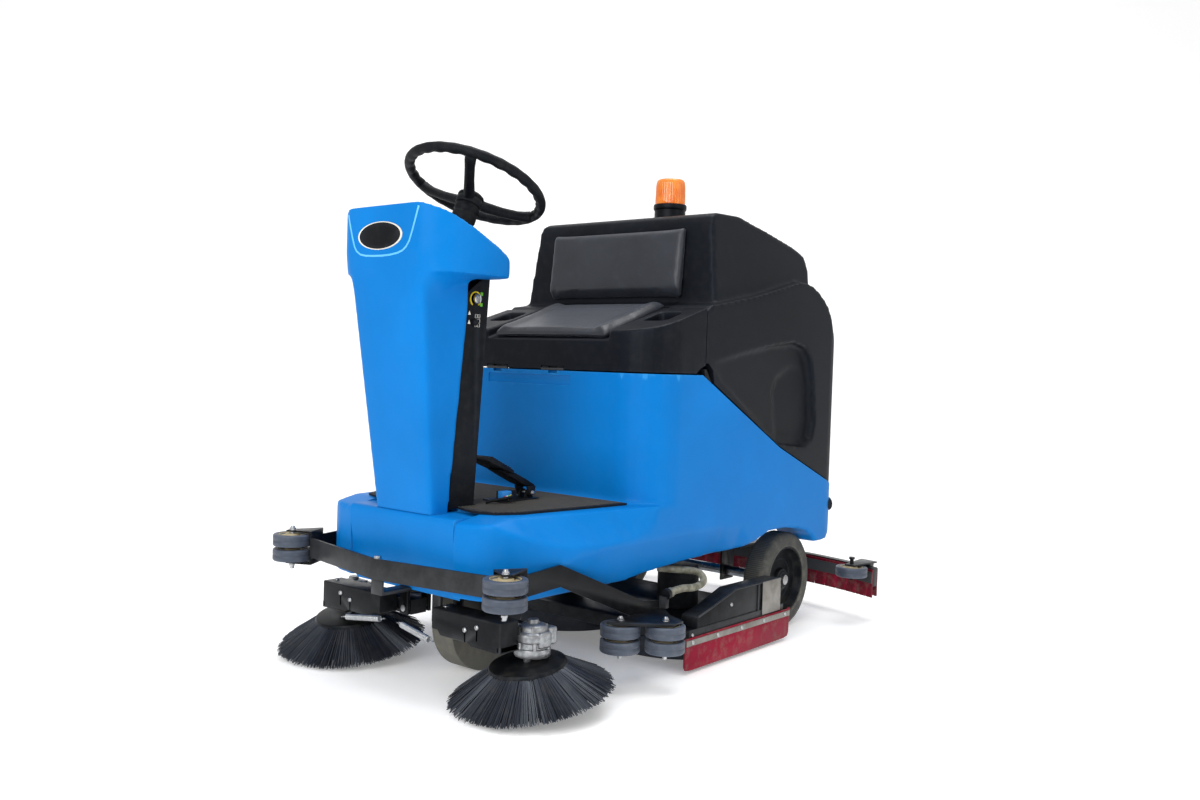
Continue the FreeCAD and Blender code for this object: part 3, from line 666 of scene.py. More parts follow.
# Blue shells.

hingeSpots = (-180, 32)
hullSizes = {"voxel": 6.0, "passes": 9, "share": 0.45, "seamHalf": 190.5}


def makeHull():
    fender = mirroredOutline([(150, -785), (191, -785), (255, -772), (285, -757), (310, -735), (335, -700),
                              (352, -660),
                              (366, -610), (375, -560), (380, -440), (380, 655), (376, 682), (360, 705),
                              (338, 718),
                              (310, 725)])
    upper = mirroredOutline([(265, -290), (297, -285), (325, -274), (348, -256), (364, -235), (375, -208),
                             (380, -175),
                             (380, 655), (376, 682), (360, 705), (338, 718), (310, 725)])
    side = [(-800, 250), (-800, 440), (-290, 440), (-290, 815), (-58, 815), (362, 602), (700, 470),
            (730, 445),
            (730, 366), (716, 318), (697, 283), (672, 264), (644, 259), (591, 259), (570, 281), (530, 302),
            (474, 314),
            (398, 322), (310, 322), (238, 300), (173, 283), (-55, 273), (-237, 262), (-320, 250)]
    body = solid(fender, "z", 200, 441)
    carve(body, [solid(upper, "z", 380, 830)], "UNION")
    carve(body, [solid(side, "x", -420, 420)], "INTERSECT")
    tools = [block(-252, 252, -745, 715, 180, 335), block(-310, 310, -690, 715, 180, 262)]
    tools.append(solid([(-690, 441.5), (-830, 414), (-830, 460), (-690, 460)], "x", -420, 420))
    for s in (-1, 1):
        tools.append(skin([[(s * top, y, 446), (s * top, y, 441), (s * 388, y, low), (s * 430, y, low),
                            (s * 430, y, 446)] for y, top, low in
                           ((-840, 236, 372), (-760, 262, 365), (-700, 284, 358), (-560, 308, 352),
                            (-400, 336, 352),
                            (-320, 356, 352), (-280, 368, 352), (-262, 374, 356))]))
        tools.append(skin([[(s * near, y, 362), (s * low, y, 249), (s * 420, y, 249), (s * 420, y, 362)]
                           for y, near, low in ((-830, 382, 330), (60, 382, 330), (150, 384, 344),
                                                (240, 388, 372), (300, 392, 391))]))
    carve(body, tools)
    soften(body, hullSizes["voxel"], hullSizes["passes"], hullSizes["share"])
    trims = [block(-hullSizes["seamHalf"], hullSizes["seamHalf"], -830, -681, 180, 470),
             solid([(-400, 780), (-72, 780), (350, 568), (691, 437), (740, 390), (800, 900), (-400, 900)],
                   "x",
                   -420, 420)]
    for x in hingeSpots:
        trims.append(block(x - 16, x + 16, -300, -282, 773, 800))
    carve(body, trims)
    strip = rounded(block(-215, 97, -300, -286.5, 742, 768), 3, 2)
    carve(body, [strip])
    finishPiece(body, "hull_moulding", "chassis", "blueShell", ["hull_shell"], 40)
    caps = []
    for s in (-1, 1):
        spot = at(s * 367, 694, 372, s * 62) @ at(0, 0, 0, 90, "Y")
        caps.append(lathe([(0, -14), (21, -14), (21, 1.5), (18, 4), (0, 4.5)], spot, 28))
    finishPiece(weld("caps", caps), "side_caps", "chassis", "blackPlastic")
    knuckles = []
    for x in hingeSpots:
        knuckles.append(lathe([(0, 0), (3.3, 0), (3.3, 80), (0, 80)], at(x - 40, -290, 784, 90, "Y"), 16))
    finishPiece(weld("knuckles", knuckles), "hood_hinge_pins", "chassis", "blackPaint")
    print("hull:", len(body.data.polygons), "faces")


noseSizes = {"voxel": 5.0, "passes": 7, "share": 0.5, "half": 189.5}


def makeNose():
    sections = [(240, [(204, -764), (204, -670)]), (300, [(204, -774), (204, -670)]),
                (400, [(204, -787), (204, -670)]), (426, [(204, -787), (204, -670)]),
                (432.5, [(204, -782), (204, -670)])]
    body = loftSolid(sections)
    carve(body, [block(-220, 220, -760, -640, 200, 424)])
    soften(body, noseSizes["voxel"], noseSizes["passes"], noseSizes["share"])
    half = noseSizes["half"]
    carve(body, [block(half, 260, -850, -600, 200, 480), block(-260, -half, -850, -600, 200, 480),
                 block(-220, 220, -684, -600, 200, 480)])
    finishPiece(body, "nose_moulding", "chassis", "blueShell", ["nose_cover"], 40)


headSizes = {"badgeSpot": (-5, 1085), "badgeHalf": (80, 33), "bead": 2.8, "voxel": 5.0, "passes": 8,
             "share": 0.6}
headPlan = [(40, -863.5), (104, -862), (136, -857), (168, -831), (191, -784), (198, -720), (196, -668),
            (188, -628),
            (160, -604), (110, -596)]
waistPlan = [(70, -846), (112, -843), (124, -836), (126, -822), (124, -790), (122, -760), (120, -720),
             (118, -692),
             (90, -690), (60, -690)]


def columnSection(z):
    # the front leans out slowly; the sides flare like a fillet, which starts higher towards the rear
    lean = min(max((z - 918) / 132, 0), 1)
    half = []
    for i, ((x0, y0), (x1, y1)) in enumerate(zip(waistPlan, headPlan)):
        low = (925, 925, 925, 925, 938, 960, 980, 990, 990, 990)[i]
        part = min(max((z - low) / (1000 - low), 0), 1)
        flare = 1 - math.sqrt(1 - part * part)
        half.append((x0 + (x1 - x0) * flare, y0 + (y1 - y0) * (lean if i < 4 else flare)))
    return z, curved(half, 3)


def makeColumn():
    foot = [(60, -780), (92, -779), (100, -775), (102, -766), (102, -755), (101, -745), (100, -735),
            (100, -722),
            (80, -720), (50, -720)]
    low = [(x0 + (x1 - x0) * 0.94, y0 + (y1 - y0) * 0.94) for (x0, y0), (x1, y1) in zip(foot, waistPlan)]
    below = [(x, y + 3) for x, y in foot]
    body = loftSolid([(400, curved(below, 3)), (432.5, curved(foot, 3)), (890, curved(low, 3))]
                     + [columnSection(z) for z in (918, 938, 956, 970, 982, 991, 997, 1000, 1050, 1210)])
    carve(body, [solid([(-900, 1178), (-500, 991), (-500, 1400), (-900, 1400)], "x", -250, 250)])
    carve(body, [block(-97, 97, -724, -560, 400, 1003)])
    soften(body, headSizes["voxel"], headSizes["passes"], headSizes["share"])
    carve(body, [block(-140, 140, -900, -640, 380, 433)])
    well = solid([(-860, 1240), (-860, 1128), (-600, 1006), (-560, 1240)], "x", -188, 188)
    wellPlan = [(104, -850), (150, -822), (178, -778), (185, -720), (183, -668), (175, -632), (150, -611),
                (108, -603)]
    carve(well, [solid(mirroredOutline(wellPlan), "z", 980, 1300)], "INTERSECT")
    carve(body, [well])
    # a thin tube in lighter blue traced along the U line on the head's front: a painted highlight line
    bead = []
    for x, z in ((-136, 1162), (-130, 1141), (-121, 1115), (-110, 1084), (-101, 1063), (-92, 1052),
                 (-78, 1044),
                 (-58, 1040.5), (-30, 1039), (0, 1038.5), (30, 1039.5), (58, 1043), (76, 1048), (88, 1056),
                 (98, 1069), (108, 1094), (118, 1124), (125, 1147), (130, 1160)):
        hit, spot, _, _ = body.ray_cast(inMetres(x, -1000, z), Vector((0, 1, 0)))
        if hit:
            bead.append(tuple(spot * 1000 + Vector((0, 1.3, 0))))
    finishPiece(tubeAlong(bead, headSizes["bead"], 10), "head_bead", "chassis", "paintedHighlightBlue")
    finishPiece(body, "column_moulding", "chassis", "blueShell", ["column_shell"], 40)

    plate = solid([(-852, 1125), (-852, 1131), (-604, 1014.5), (-604, 1009)], "x", -184, 184)
    platePlan = [(98, -842), (144, -815), (171, -775), (178, -720), (176, -670), (168, -638), (146, -619),
                 (104, -611)]
    carve(plate, [solid(mirroredOutline(platePlan), "z", 980, 1300)], "INTERSECT")
    finishPiece(rounded(plate, 1.5, 2, 50), "dash_plate", "chassis", "blackPlastic",
                ["dash_panel"])

    x, z = headSizes["badgeSpot"]
    wide, tall = headSizes["badgeHalf"]
    front = at(x, -863.4, z, 90, "X") @ Matrix.Diagonal((1, tall / wide, 1, 1))
    ring = lathe([(wide - 6, -4), (wide, -4), (wide, 1.2), (wide - 1.5, 2.2), (wide - 4, 2.2),
                  (wide - 6, 1.4)],
                 front, 64)
    finishPiece(ring, "badge_ring", "chassis", "creamMark")
    face = lathe([(0, -4), (wide - 5.8, -4), (wide - 5.8, 1.8), (wide * 0.5, 2.4), (0, 2.8)], front, 64)
    finishPiece(face, "badge_face", "chassis", "blackPlastic")
    print("column done")


def makeSidePanel():
    panel = cadCopy("column_rear_panel", 2.0, 3)
    finishPiece(panel, "column_panel", "chassis", "blackPlastic", ["column_rear_panel"], 40)

    def onPanel(y, z, out=0.0):
        return at(96.4 + 16 * (z - 441) / 561 + out, y, z, 91.6, "Y")

    arc = []
    for i in range(17):
        turn = math.radians(35 + 290 * i / 16)
        arc.append(onPanel(-662, 949, 0.4) @ inMetres(17 * math.cos(turn), 17 * math.sin(turn), 0) * 1000)
    finishPiece(tubeAlong(arc, 2.0, 8), "key_ring", "chassis", "yellowMark")
    marks = []
    for y, z in ((-642, 962), (-642, 936)):
        mark = block(-4, 4, -4, 4, -1, 1.0)
        mark.data.transform(onPanel(y, z))
        marks.append(rounded(mark, 0.5, 2))
    finishPiece(weld("marks", marks), "key_marks", "chassis", "greenMark")
    signs = []
    for y, z in ((-680, 915), (-680, 893)):
        sign = solid([(-5, -4.5), (5, 0), (-5, 4.5)], "z", -1, 0.8)
        sign.data.transform(onPanel(y, z) @ at(0, 0, 0, 180))
        signs.append(rounded(sign, 0.4, 2))
    for y in (-657, -648):
        for z in (886, 897, 908):
            frameTube = [onPanel(y, z, 0.3) @ inMetres(a, b, 0) * 1000
                         for a, b in ((-4, -3.2), (4, -3.2), (4, 3.2), (-4, 3.2))]
            signs.append(tubeAlong(frameTube, 0.6, 5, loop=True))
    finishPiece(weld("signs", signs), "panel_signs", "chassis", "creamMark")
    cap = lathe([(0, 0), (11.5, 0), (11.5, 5), (9.5, 7), (0, 7)], onPanel(-662, 949, 5), 24)
    bar = block(-9, 9, -2.2, 2.2, 3, 13)
    bar.data.transform(onPanel(-662, 949, 5))
    finishPiece(weld("key", [cap, rounded(bar, 1, 2)]), "key_knob", "key", "zinc",
                ["key_switch"])
    push = lathe([(0, -8), (8, -8), (8, 4), (6.5, 6), (0, 6.5)], onPanel(-662, 893, 2), 24)
    finishPiece(push, "horn_cap", "button", "blackRubber", ["horn_button"])


makeHull()
makeNose()
makeColumn()
makeSidePanel()


# Black upper body.

hoodSizes = {"voxel": 4.5, "passes": 6, "share": 0.5}


def makeHood():
    plan = mirroredOutline([(265, -290), (297, -285), (325, -274), (348, -256), (364, -235), (375, -208),
                            (379, -175),
                            (379, -40)])
    body = solid(plan, "z", 740, 1000)
    profile = [(-292, 740), (-292, 884), (-284, 893), (-240, 905), (-40, 968), (-40, 740)]
    carve(body, [solid(profile, "x", -400, 400)], "INTERSECT")
    carve(body, [solid([(-320, 857), (-285, 866), (-30, 952), (-30, 1010), (-320, 1010)], "x", -226, 226)])
    carve(body, [block(-300, 300, -268, 0, 700, 842), block(-352, 352, -215, 0, 700, 842)])
    for s in (-1, 1):
        cup = solid([(s * 252, -182), (s * 330, -182), (s * 330, -98), (s * 252, -98)], "z", 872, 1010)
        carve(body, [rounded(cup, 14, 4, 60)])
    soften(body, hoodSizes["voxel"], hoodSizes["passes"], hoodSizes["share"])
    trims = [block(-400, 400, -320, 0, 700, 784), block(-400, 400, -60.5, 0, 700, 1010)]
    for low, high in ((350, 420), (-420, -350)):
        trims.append(solid([(-108, 780), (-84, 797), (-62, 806), (-40, 812), (-40, 780)], "x", low, high))
    for x in hingeSpots:
        trims.append(block(x - 42, x + 42, -300, -284.5, 780, 793))
    carve(body, trims)
    finishPiece(body, "hood_moulding", "hood", "blackShell", ["seat_hood"], 40)
    flaps = []
    for x in hingeSpots:
        for x0 in (x - 39.5, x + 16):
            flaps.append(rounded(block(x0, x0 + 23.5, -289.5, -280, 785, 792), 1.2, 2))
    finishPiece(weld("flaps", flaps), "hood_hinge_flaps", "hood", "blackPlastic")


def puff(piece, cap, pressure=4.0, frames=20):
    # cloth swells the pad; no point moves further than cap millimetres
    rest = [vert.co.copy() for vert in piece.data.vertices]
    cloth = piece.modifiers.new("cloth", "CLOTH")
    settings = cloth.settings
    settings.use_pressure, settings.uniform_pressure_force = True, pressure
    settings.effector_weights.gravity = 0
    settings.quality = 4
    scene.frame_set(1)
    for number in range(1, frames + 1):
        scene.frame_set(number)
    settle(piece)
    scene.frame_set(1)
    for vert, was in zip(piece.data.vertices, rest):
        move = vert.co - was
        if move.length > cap / 1000:
            vert.co = was + move.normalized() * cap / 1000
    return piece


def evenOut(pad):
    # smooths away the simulation's unevenness and adds faces
    smooth = pad.modifiers.new("even", "SMOOTH")
    smooth.iterations = 3
    finer = pad.modifiers.new("finer", "SUBSURF")
    finer.levels = finer.render_levels = 1
    return settle(pad)


cushionSizes = {"half": 211, "voxel": 5.0, "cap": 5.0}
backrestSizes = {"voxel": 5.0, "cap": 4.0}


def seatHeight(y):
    return 872.5 + (y + 284) * 104 / 273


def makeCushion():
    # crowned sections from the front lip to the back, higher at the side rolls
    half = cushionSizes["half"]
    rings = []
    for y, base, top in ((-282.5, 876, 882), (-281, 875, 890), (-274, 874.5, 897), (-258, 876, 903),
                         (-225, 884, 913),
                         (-160, 909, 934), (-95, 934, 958), (-45, 953, 976), (-22, 962, 982),
                         (-13.5, 966, 980)):
        ring = []
        for x, share in ((half, 0.1), (half, 0.55), (half - 5, 0.86), (half - 14, 0.99), (half - 26, 1.0),
                         (half - 40, 0.9), (half - 56, 0.72), (half - 90, 0.74), (half - 150, 0.8),
                         (0, 0.84)):
            ring.append((x, y, base + (top - base) * share))
        ring += [(-x, y, z) for x, y, z in reversed(ring[:-1])]
        ring += [(-half + 6, y, base), (half - 6, y, base)]
        rings.append(ring)
    pad = skin(rings)
    soften(pad, cushionSizes["voxel"], 3, 1.0)
    notch = solid([(-118, -84), (118, -84), (150, -8), (-150, -8)], "z", 0, 1100)
    under = [(-120, 700), (-120, seatHeight(-120) + 6), (0, seatHeight(0) + 5), (0, 700)]
    carve(notch, [solid(under, "x", -300, 300)])
    carve(pad, [notch])
    soften(pad, cushionSizes["voxel"], 2, 1.0)
    puff(pad, cushionSizes["cap"])
    evenOut(pad)
    finishPiece(pad, "seat_pad", "hood", "seatVinyl", ["seat_cushion"], 60)


def makeBackrest():
    pad = solid([(-13, 1024), (5, 1184), (10, 1192), (26, 1196), (12, 995), (4, 994)], "x", -248, 248)
    rounded(pad, 7, 3, 25)
    soften(pad, backrestSizes["voxel"], 7, 1.0)
    puff(pad, backrestSizes["cap"])
    evenOut(pad)
    finishPiece(pad, "back_pad", "chassis", "seatVinyl", ["backrest_pad"], 60)


def scoop(outline, s, depth):
    # a tool for a side hollow whose depth follows y
    tool = skin([[(s * (378 - depth(y)), y, z) for y, z in outline], [(s * 400, y, z) for y, z in outline]])
    split = tool.modifiers.new("split", "TRIANGULATE")
    split.ngon_method = "BEAUTY"
    return settle(tool)


tankSizes = {"voxel": 6.0, "passes": 9, "share": 0.45, "hollow": 22}


def makeTank():
    body = solid([(-80, 760), (-80, 944), (-56, 956), (-30, 972), (12, 978), (200, 1012), (455, 1072),
                  (520, 1066),
                   (560, 1050), (600, 1028), (630, 1004), (664, 956), (690, 900), (710, 810), (720, 709),
                  (726, 444),
                   (720, 420), (640, 430), (353, 545), (-60, 755)], "x", -400, 400)
    plan = mirroredOutline([(378, -90), (378, 655), (374, 680), (358, 705), (336, 719), (308, 725)])
    carve(body, [solid(plan, "z", 380, 1200)], "INTERSECT")
    upper = solid([(12, 900), (12, 985), (28, 1205), (36, 1226), (60, 1236), (177, 1240), (300, 1217),
                   (469, 1184),
                   (510, 1172), (540, 1158), (556, 1138), (562, 1110), (566, 1000), (566, 900)], "x", -355,
                  355)
    tools = []
    for s in (-1, 1):
        tools.append(solid([(s * 321, 1240), (s * 354, 975), (s * 420, 975), (s * 420, 1300),
                            (s * 313, 1300)], "y",
                           -100, 700))
    carve(upper, tools)
    carve(body, [upper], "UNION")
    for s in (-1, 1):
        carve(body, [scoop([(-30, 812), (60, 832), (185, 855), (320, 874), (420, 884), (490, 870), (525, 835),
                            (548, 760), (562, 640), (545, 590), (489, 566), (341, 580), (150, 690),
                            (27, 762)], s,
                           lambda y: 1.5 + max(0, y + 30) * 12 / 340),
                     rounded(scoop([(345, 600), (330, 690), (318, 735), (345, 780), (420, 815), (480, 812),
                                    (520, 770),
                                    (535, 640), (520, 606), (480, 590)], s, lambda y: tankSizes["hollow"]),
                             9, 3, 60)])
    carve(body, [block(-232, 232, -90, -6, 950, 1010), block(-150, 150, 332, 470, 1195, 1300)])
    soften(body, tankSizes["voxel"], tankSizes["passes"], tankSizes["share"])
    trims = [block(-420, 420, -120, -56, 700, 1100),
             solid([(-120, 785), (-66, 785), (353, 572), (694, 441), (760, 441), (760, 300), (-120, 300)],
                   "x",
                   -420, 420)]
    for low, high in ((350, 420), (-420, -350)):
        trims.append(solid([(-80, 814), (-42, 812), (-20, 792), (-12, 757), (-80, 740)], "x", low, high))
    trims.append(rounded(block(-120, 120, 358, 456, 1090, 1300), 6, 3, 60))
    carve(body, trims)
    finishPiece(body, "tank_moulding", "chassis", "blackShell", ["recovery_tank"], 40)
    latches = []
    for s in (-1, 1):
        latch = solid([(-52, 796), (-42, 796), (-26, 774), (-14, 760), (-30, 762), (-50, 778)], "x",
                      s * 366 - 6,
                      s * 366 + 6)
        latches.append(rounded(latch, 2, 2))
    finishPiece(weld("latches", latches), "side_latches", "chassis", "blackPaint")

    lid = cadCopy("tank_lid", 0)
    finishPiece(rounded(lid, 2.0, 3, 50), "service_lid", "lid", "blackShell", ["tank_lid"],
                40)
    print("tank:", len(body.data.polygons), "faces")


beaconSizes = {"y": 272, "radius": 47.5, "ribs": 40, "ribDepth": 0.014, "low": 1306.4, "high": 1384.6}


def makeBeacon():
    # ribbed lens: the wall's radius follows the count of ribs
    ribs = beaconSizes["ribs"]
    steps = ribs * 4
    low, high, radius = beaconSizes["low"], beaconSizes["high"], beaconSizes["radius"]
    levels = [(low, 0.985), (low + 4, 1.0), (low + 8, 0.985), (low + 34, 0.972), (high - 20, 0.955),
              (high - 9, 0.93),
              (high - 3, 0.885), (high - 0.6, 0.82), (high, 0.7), (high, 0.35)]
    rings = []
    for i, (z, share) in enumerate(levels):
        depth = beaconSizes["ribDepth"] if 2 <= i <= 5 else 0
        ring = []
        for j in range(steps):
            turn = 2 * math.pi * j / steps
            reach = radius * share * (1 + depth * math.cos(turn * ribs))
            ring.append((reach * math.cos(turn), beaconSizes["y"] + reach * math.sin(turn), z))
        rings.append(ring)
    finishPiece(skin(rings), "beacon_cap", "chassis", "amberLens", ["beacon_lens"], 50)
    place = at(0, beaconSizes["y"], 0)
    foot = lathe([(0, 1214), (58, 1214), (57, 1222), (52, 1232), (49, 1240), (48.5, 1288), (51, 1290),
                  (52, 1293),
                  (52, 1303), (50.5, 1306), (0, 1306)], place, 56)
    finishPiece(foot, "beacon_foot", "chassis", "blackPlastic", ["beacon_base"])


makeHood()
makeCushion()
makeBackrest()
makeTank()
makeBeacon()
print("upper body done")


# Steering wheel, rollers and wheels.

steerPlace = at(0, -568, 1244.5, -23.2, "X")
steerSizes = {"radius": 175, "rim": 12.0, "bump": 3.2, "grips": 28, "drop": -44}


def makeSteeringWheel():
    rim = []
    radii = []
    steps = steerSizes["grips"] * 6
    for i in range(steps):
        turn = 2 * math.pi * i / steps
        bump = steerSizes["bump"] * (0.5 + 0.5 * math.cos(turn * steerSizes["grips"]))
        middle = steerSizes["radius"] - bump / 2
        rim.append((middle * math.cos(turn), middle * math.sin(turn), 0))
        radii.append(steerSizes["rim"] + bump / 2)
    parts = [tubeAlong(rim, radii, 14, loop=True)]
    drop = steerSizes["drop"]
    for turn in (-50, 70, 190):
        c, s = math.cos(math.radians(turn)), math.sin(math.radians(turn))
        line = [(r * c, r * s, z) for r, z in ((18, drop), (45, drop + 3), (90, drop + 13), (132, drop + 25),
                                               (153, drop + 33), (166, drop + 40), (173, -2))]
        parts.append(tubeAlong(line, [15, 14.5, 13, 13, 14.5, 15, 11], 14, squashed=0.85))
    parts.append(lathe([(0, -22), (17, -22), (19, -23), (21, -26), (27, -26.5), (29, -29), (33, -31),
                        (34, -34),
                        (34, -38), (32.5, -39.5), (32.5, -41), (34, -42.5), (34, -56), (32, -59), (0, -59)],
                       steps=48))
    wheel = weld("wheel", parts)
    wheel.data.transform(steerPlace)
    finishPiece(wheel, "steering_rim", "steering", "blackRubber", ["steering_wheel"], 50)


def rollerParts(x, y, z, count):
    # grey treads and cream hubs of one stack
    treads, hubs = [], []
    for i in range(count):
        low = z + 38 * i
        place = at(x, y, low)
        treads.append(lathe([(30, 1.0), (44, 1.0), (47.5, 1.4), (49.4, 3.2), (49.9, 6), (49.9, 14.8),
                             (49.3, 15.6),
                             (49.3, 17.4), (49.9, 18.2), (49.9, 27), (49.4, 29.8), (47.5, 31.6), (44, 32),
                             (38, 32),
                             (36, 30), (30, 29)], place, 56))
        hubs.append(lathe([(6.2, 0), (16, 0), (17, 3), (31, 3), (34, 1.2), (35.8, 1.2), (35.8, 31.8),
                           (34, 31.8),
                           (32.5, 28), (20, 27), (17.5, 32.6), (15.5, 33), (6.2, 33)], place, 40))
    return weld("treads", treads), weld("hubs", hubs)


rollerStacks = {"front_rollers": ((391, -817, 262), 2, "front_guide"),
                "side_rollers_front": ((388, -406, 95), 2, "side_guide_front"),
                "side_rollers_rear": ((470, -330, 95), 2, "side_guide_rear"),
                "squeegee_roller": ((465, 681, 150), 1, "squeegee_guide")}


def makeRollers():
    for node, ((x, y, z), count, body) in rollerStacks.items():
        for side, s in (("left", 1), ("right", -1)):
            treads, hubs = rollerParts(s * x, y, z, count)
            finishPiece(treads, node + "_tread_" + side, body + "_" + side, "rollerGrey",
                        [node + "_" + side], 40)
            finishPiece(hubs, node + "_hub_" + side, body + "_" + side, "hubCream", (), 40)


wheelSizes = {"inner": 275, "y": 474, "z": 148, "treadMiddle": 312, "ribRadius": 147.2, "ribs": 150}


def makeRearWheels():
    # solid tyre with fine cross ribs over its tread, and a dished hub
    y, z, radius = wheelSizes["y"], wheelSizes["z"], wheelSizes["ribRadius"]
    for side, s in (("left", 1), ("right", -1)):
        place = at(s * wheelSizes["inner"], y, z, s * 90, "Y")
        tyre = lathe([(104.5, 2), (112, 0.6), (130, 0.6), (139, 3), (145, 8), (147.4, 15), (147.7, 25),
                      (147.7, 49),
                      (147.4, 59), (145, 66), (139, 71), (130, 73.4), (116, 73.4), (113, 72.4), (111, 73.4),
                      (106, 73.4), (104.5, 71)], place, 96)
        finishPiece(tyre, "tyre_" + side, "rear_wheel_" + side, "tyreGrey",
                    ["rear_tyre_" + side], 40)
        rib = rounded(block(-25, 25, -1.0, 1.0, -0.4, 0.7), 0.4, 1)
        spots = []
        for i in range(wheelSizes["ribs"]):
            turn = 2 * math.pi * i / wheelSizes["ribs"]
            up = (0, math.cos(turn), math.sin(turn))
            spots.append(((s * wheelSizes["treadMiddle"], y + radius * up[1], z + radius * up[2]), up))
        finishPiece(placePieces(rib, spots, "tyreGrey"), "tyre_ribs_" + side, "rear_wheel_" + side,
                    "tyreGrey")
        hub = lathe([(15.2, 3), (34, 3), (36, 12), (88, 14), (94, 5), (98, 3), (103.8, 3), (103.8, 70),
                     (99, 70.6),
                     (97, 66), (94, 50), (90, 46), (40, 45), (36, 47), (34, 56), (33, 59), (15.2, 60)],
                    place, 72)
        finishPiece(hub, "hub_" + side, "rear_wheel_" + side, "blackPlastic",
                    ["rear_hub_" + side], 40)
        rings = [lathe([(60, 44.5), (62, 46.4), (66, 46.4), (68, 44.5)], place, 64),
                 lathe([(0, 58), (26, 58), (27, 60.5), (24, 63.5), (0, 64)], place, 40)]
        finishPiece(weld("rings", rings), "hub_rings_" + side, "rear_wheel_" + side,
                    "blackPlastic")
    print("wheels done")


# Side brushes.

brushX, brushY = 332, -661
brushPlace = at(brushX, brushY, 34.5) @ towards((-0.044, -0.163, 1.0))
brushSizes = {"strands": 3400, "root": 0.064, "spread": 0.022, "reach": 0.108, "drop": 0.0665,
              "thick": 0.0013}


def leftAndRight(piece, name, body, material, replaced=(), angle=35):
    # finishes a left-hand piece and its mirrored copy
    other = mirrorMesh(piece)
    finishPiece(piece, name + "_left", body + "_left", material, [n + "_left" for n in replaced], angle)
    finishPiece(other, name + "_right", body + "_right", material, [n + "_right" for n in replaced],
                angle)


def makeSideBrushes():
    holder = newPiece("seeds", bmesh.new())
    strands = bristleTree.run(holder, {"Count": brushSizes["strands"], "Root radius": brushSizes["root"],
                                       "Root spread": brushSizes["spread"], "Reach": brushSizes["reach"],
                                       "Drop": brushSizes["drop"], "Thickness": brushSizes["thick"],
                                       "Uneven": 0.09,
                                       "Seed": 11, "Material": finishes["bristle"]})
    strands.data.transform(brushPlace @ at(0, 0, 66.5))
    core = lathe([(52, 66), (84, 66), (100, 57), (130, 36), (154, 16), (152, 10), (120, 28), (80, 50)],
                 brushPlace, 72)
    brush = weld("brush", [strands, core])
    leftAndRight(brush, "bristle_cone", "side_brush", "bristle", ["brush_bristles"], 30)
    disc = lathe([(9.2, 63), (60, 63), (84, 58), (90, 59), (92, 63), (91.5, 71), (89, 75), (84, 76.4),
                  (66, 77.6),
                  (60, 78.8), (34, 78.8), (32, 78.2), (9.2, 78.2)], brushPlace, 72)
    leftAndRight(disc, "brush_plate", "side_brush", "blackPlastic", ["brush_disc"], 40)

    beam = block(46, 330, -703.7, -652.5, 158, 196)
    motorBore = lathe([(0, 100), (38.5, 100), (38.5, 300), (0, 300)], at(brushX, brushY, 0), 48)
    pinBore = lathe([(0, 0), (8.1, 0), (8.1, 120), (0, 120)], at(60, -640, 175, 90, "X"), 24)
    carve(beam, [motorBore, pinBore])
    rounded(beam, 2.0, 2)
    cover = solid([(97, 211.5), (327.5, 211.5), (327.5, 141), (232, 141), (222, 148), (128, 148), (118, 160),
                   (97, 160)], "y", -764, -703.9)
    rounded(cover, 4, 3)
    slots = []
    for x, z in ((213, 176), (252, 188)):
        slots.append(rounded(block(x - 2.5, x + 2.5, -770, -758, z - 30, z + 8), 1.5, 2, 20))
    carve(cover, slots)
    lip = rounded(block(317, 327.5, -764, -690, 141, 158), 2, 2)
    leftAndRight(weld("arm", [beam, cover, lip]), "arm_cover", "side_arm", "blackPaint",
                 ["brush_arm"])
    screws = placePieces(domeScrew(6.5, 4.6), [((213, -764, 178), (0, -1, 0)), ((252, -764, 190), (0, -1, 0)),
                                               ((115, -734, 211.5), (0, 0, 1)),
                                               ((308, -734, 211.5), (0, 0, 1))],
                         "zinc", 1.0)
    leftAndRight(screws, "cover_screws", "side_arm", "zinc")

    can = lathe([(0, 122.5), (32, 122.5), (41, 124), (43, 127), (43, 140), (42, 143), (38, 145), (38, 157),
                 (42, 159), (43.5, 162), (43.5, 176), (41, 180), (34, 183), (33, 192), (30, 196), (22, 199),
                 (14, 200), (13, 208), (0, 208)], at(brushX, brushY, 0), 56)
    parts = [can, rounded(block(300.5, 366, -640, -612, 148, 189.5), 6, 4),
             rounded(block(352, 376, -680, -642, 146, 184), 7, 4)]
    lugs = []
    for turn in range(20, 380, 60):
        a = math.radians(turn)
        lugs.append((brushX + 37 * math.cos(a), brushY + 37 * math.sin(a)))
    for x, y in lugs:
        parts.append(lathe([(0, 143), (5.5, 143), (5.5, 166), (4.5, 168), (0, 168)], at(x, y, 0), 14))
    fins = [rounded(block(306 + 9 * i, 309 + 9 * i, -688, -634, 178, 197), 1, 2) for i in range(6)]
    shaft = lathe([(0, 70), (9, 70), (9, 92), (0, 92)], brushPlace, 24)
    leftAndRight(weld("motor", parts + fins + [shaft]), "gear_motor", "side_arm",
                 "gearboxAluminium", ["brush_motor"], 40)
    bolts = placePieces(hexBolt(9, 4.5, 5.5), [((x, y, 168), (0, 0, 1)) for x, y in lugs], "zinc", 1.0)
    leftAndRight(bolts, "motor_bolts", "side_arm", "zinc")
    print("side brushes:", len(brush.data.polygons), "faces each")


springSizes = {"turns": 38, "radius": 0.0067, "wire": 0.0012}


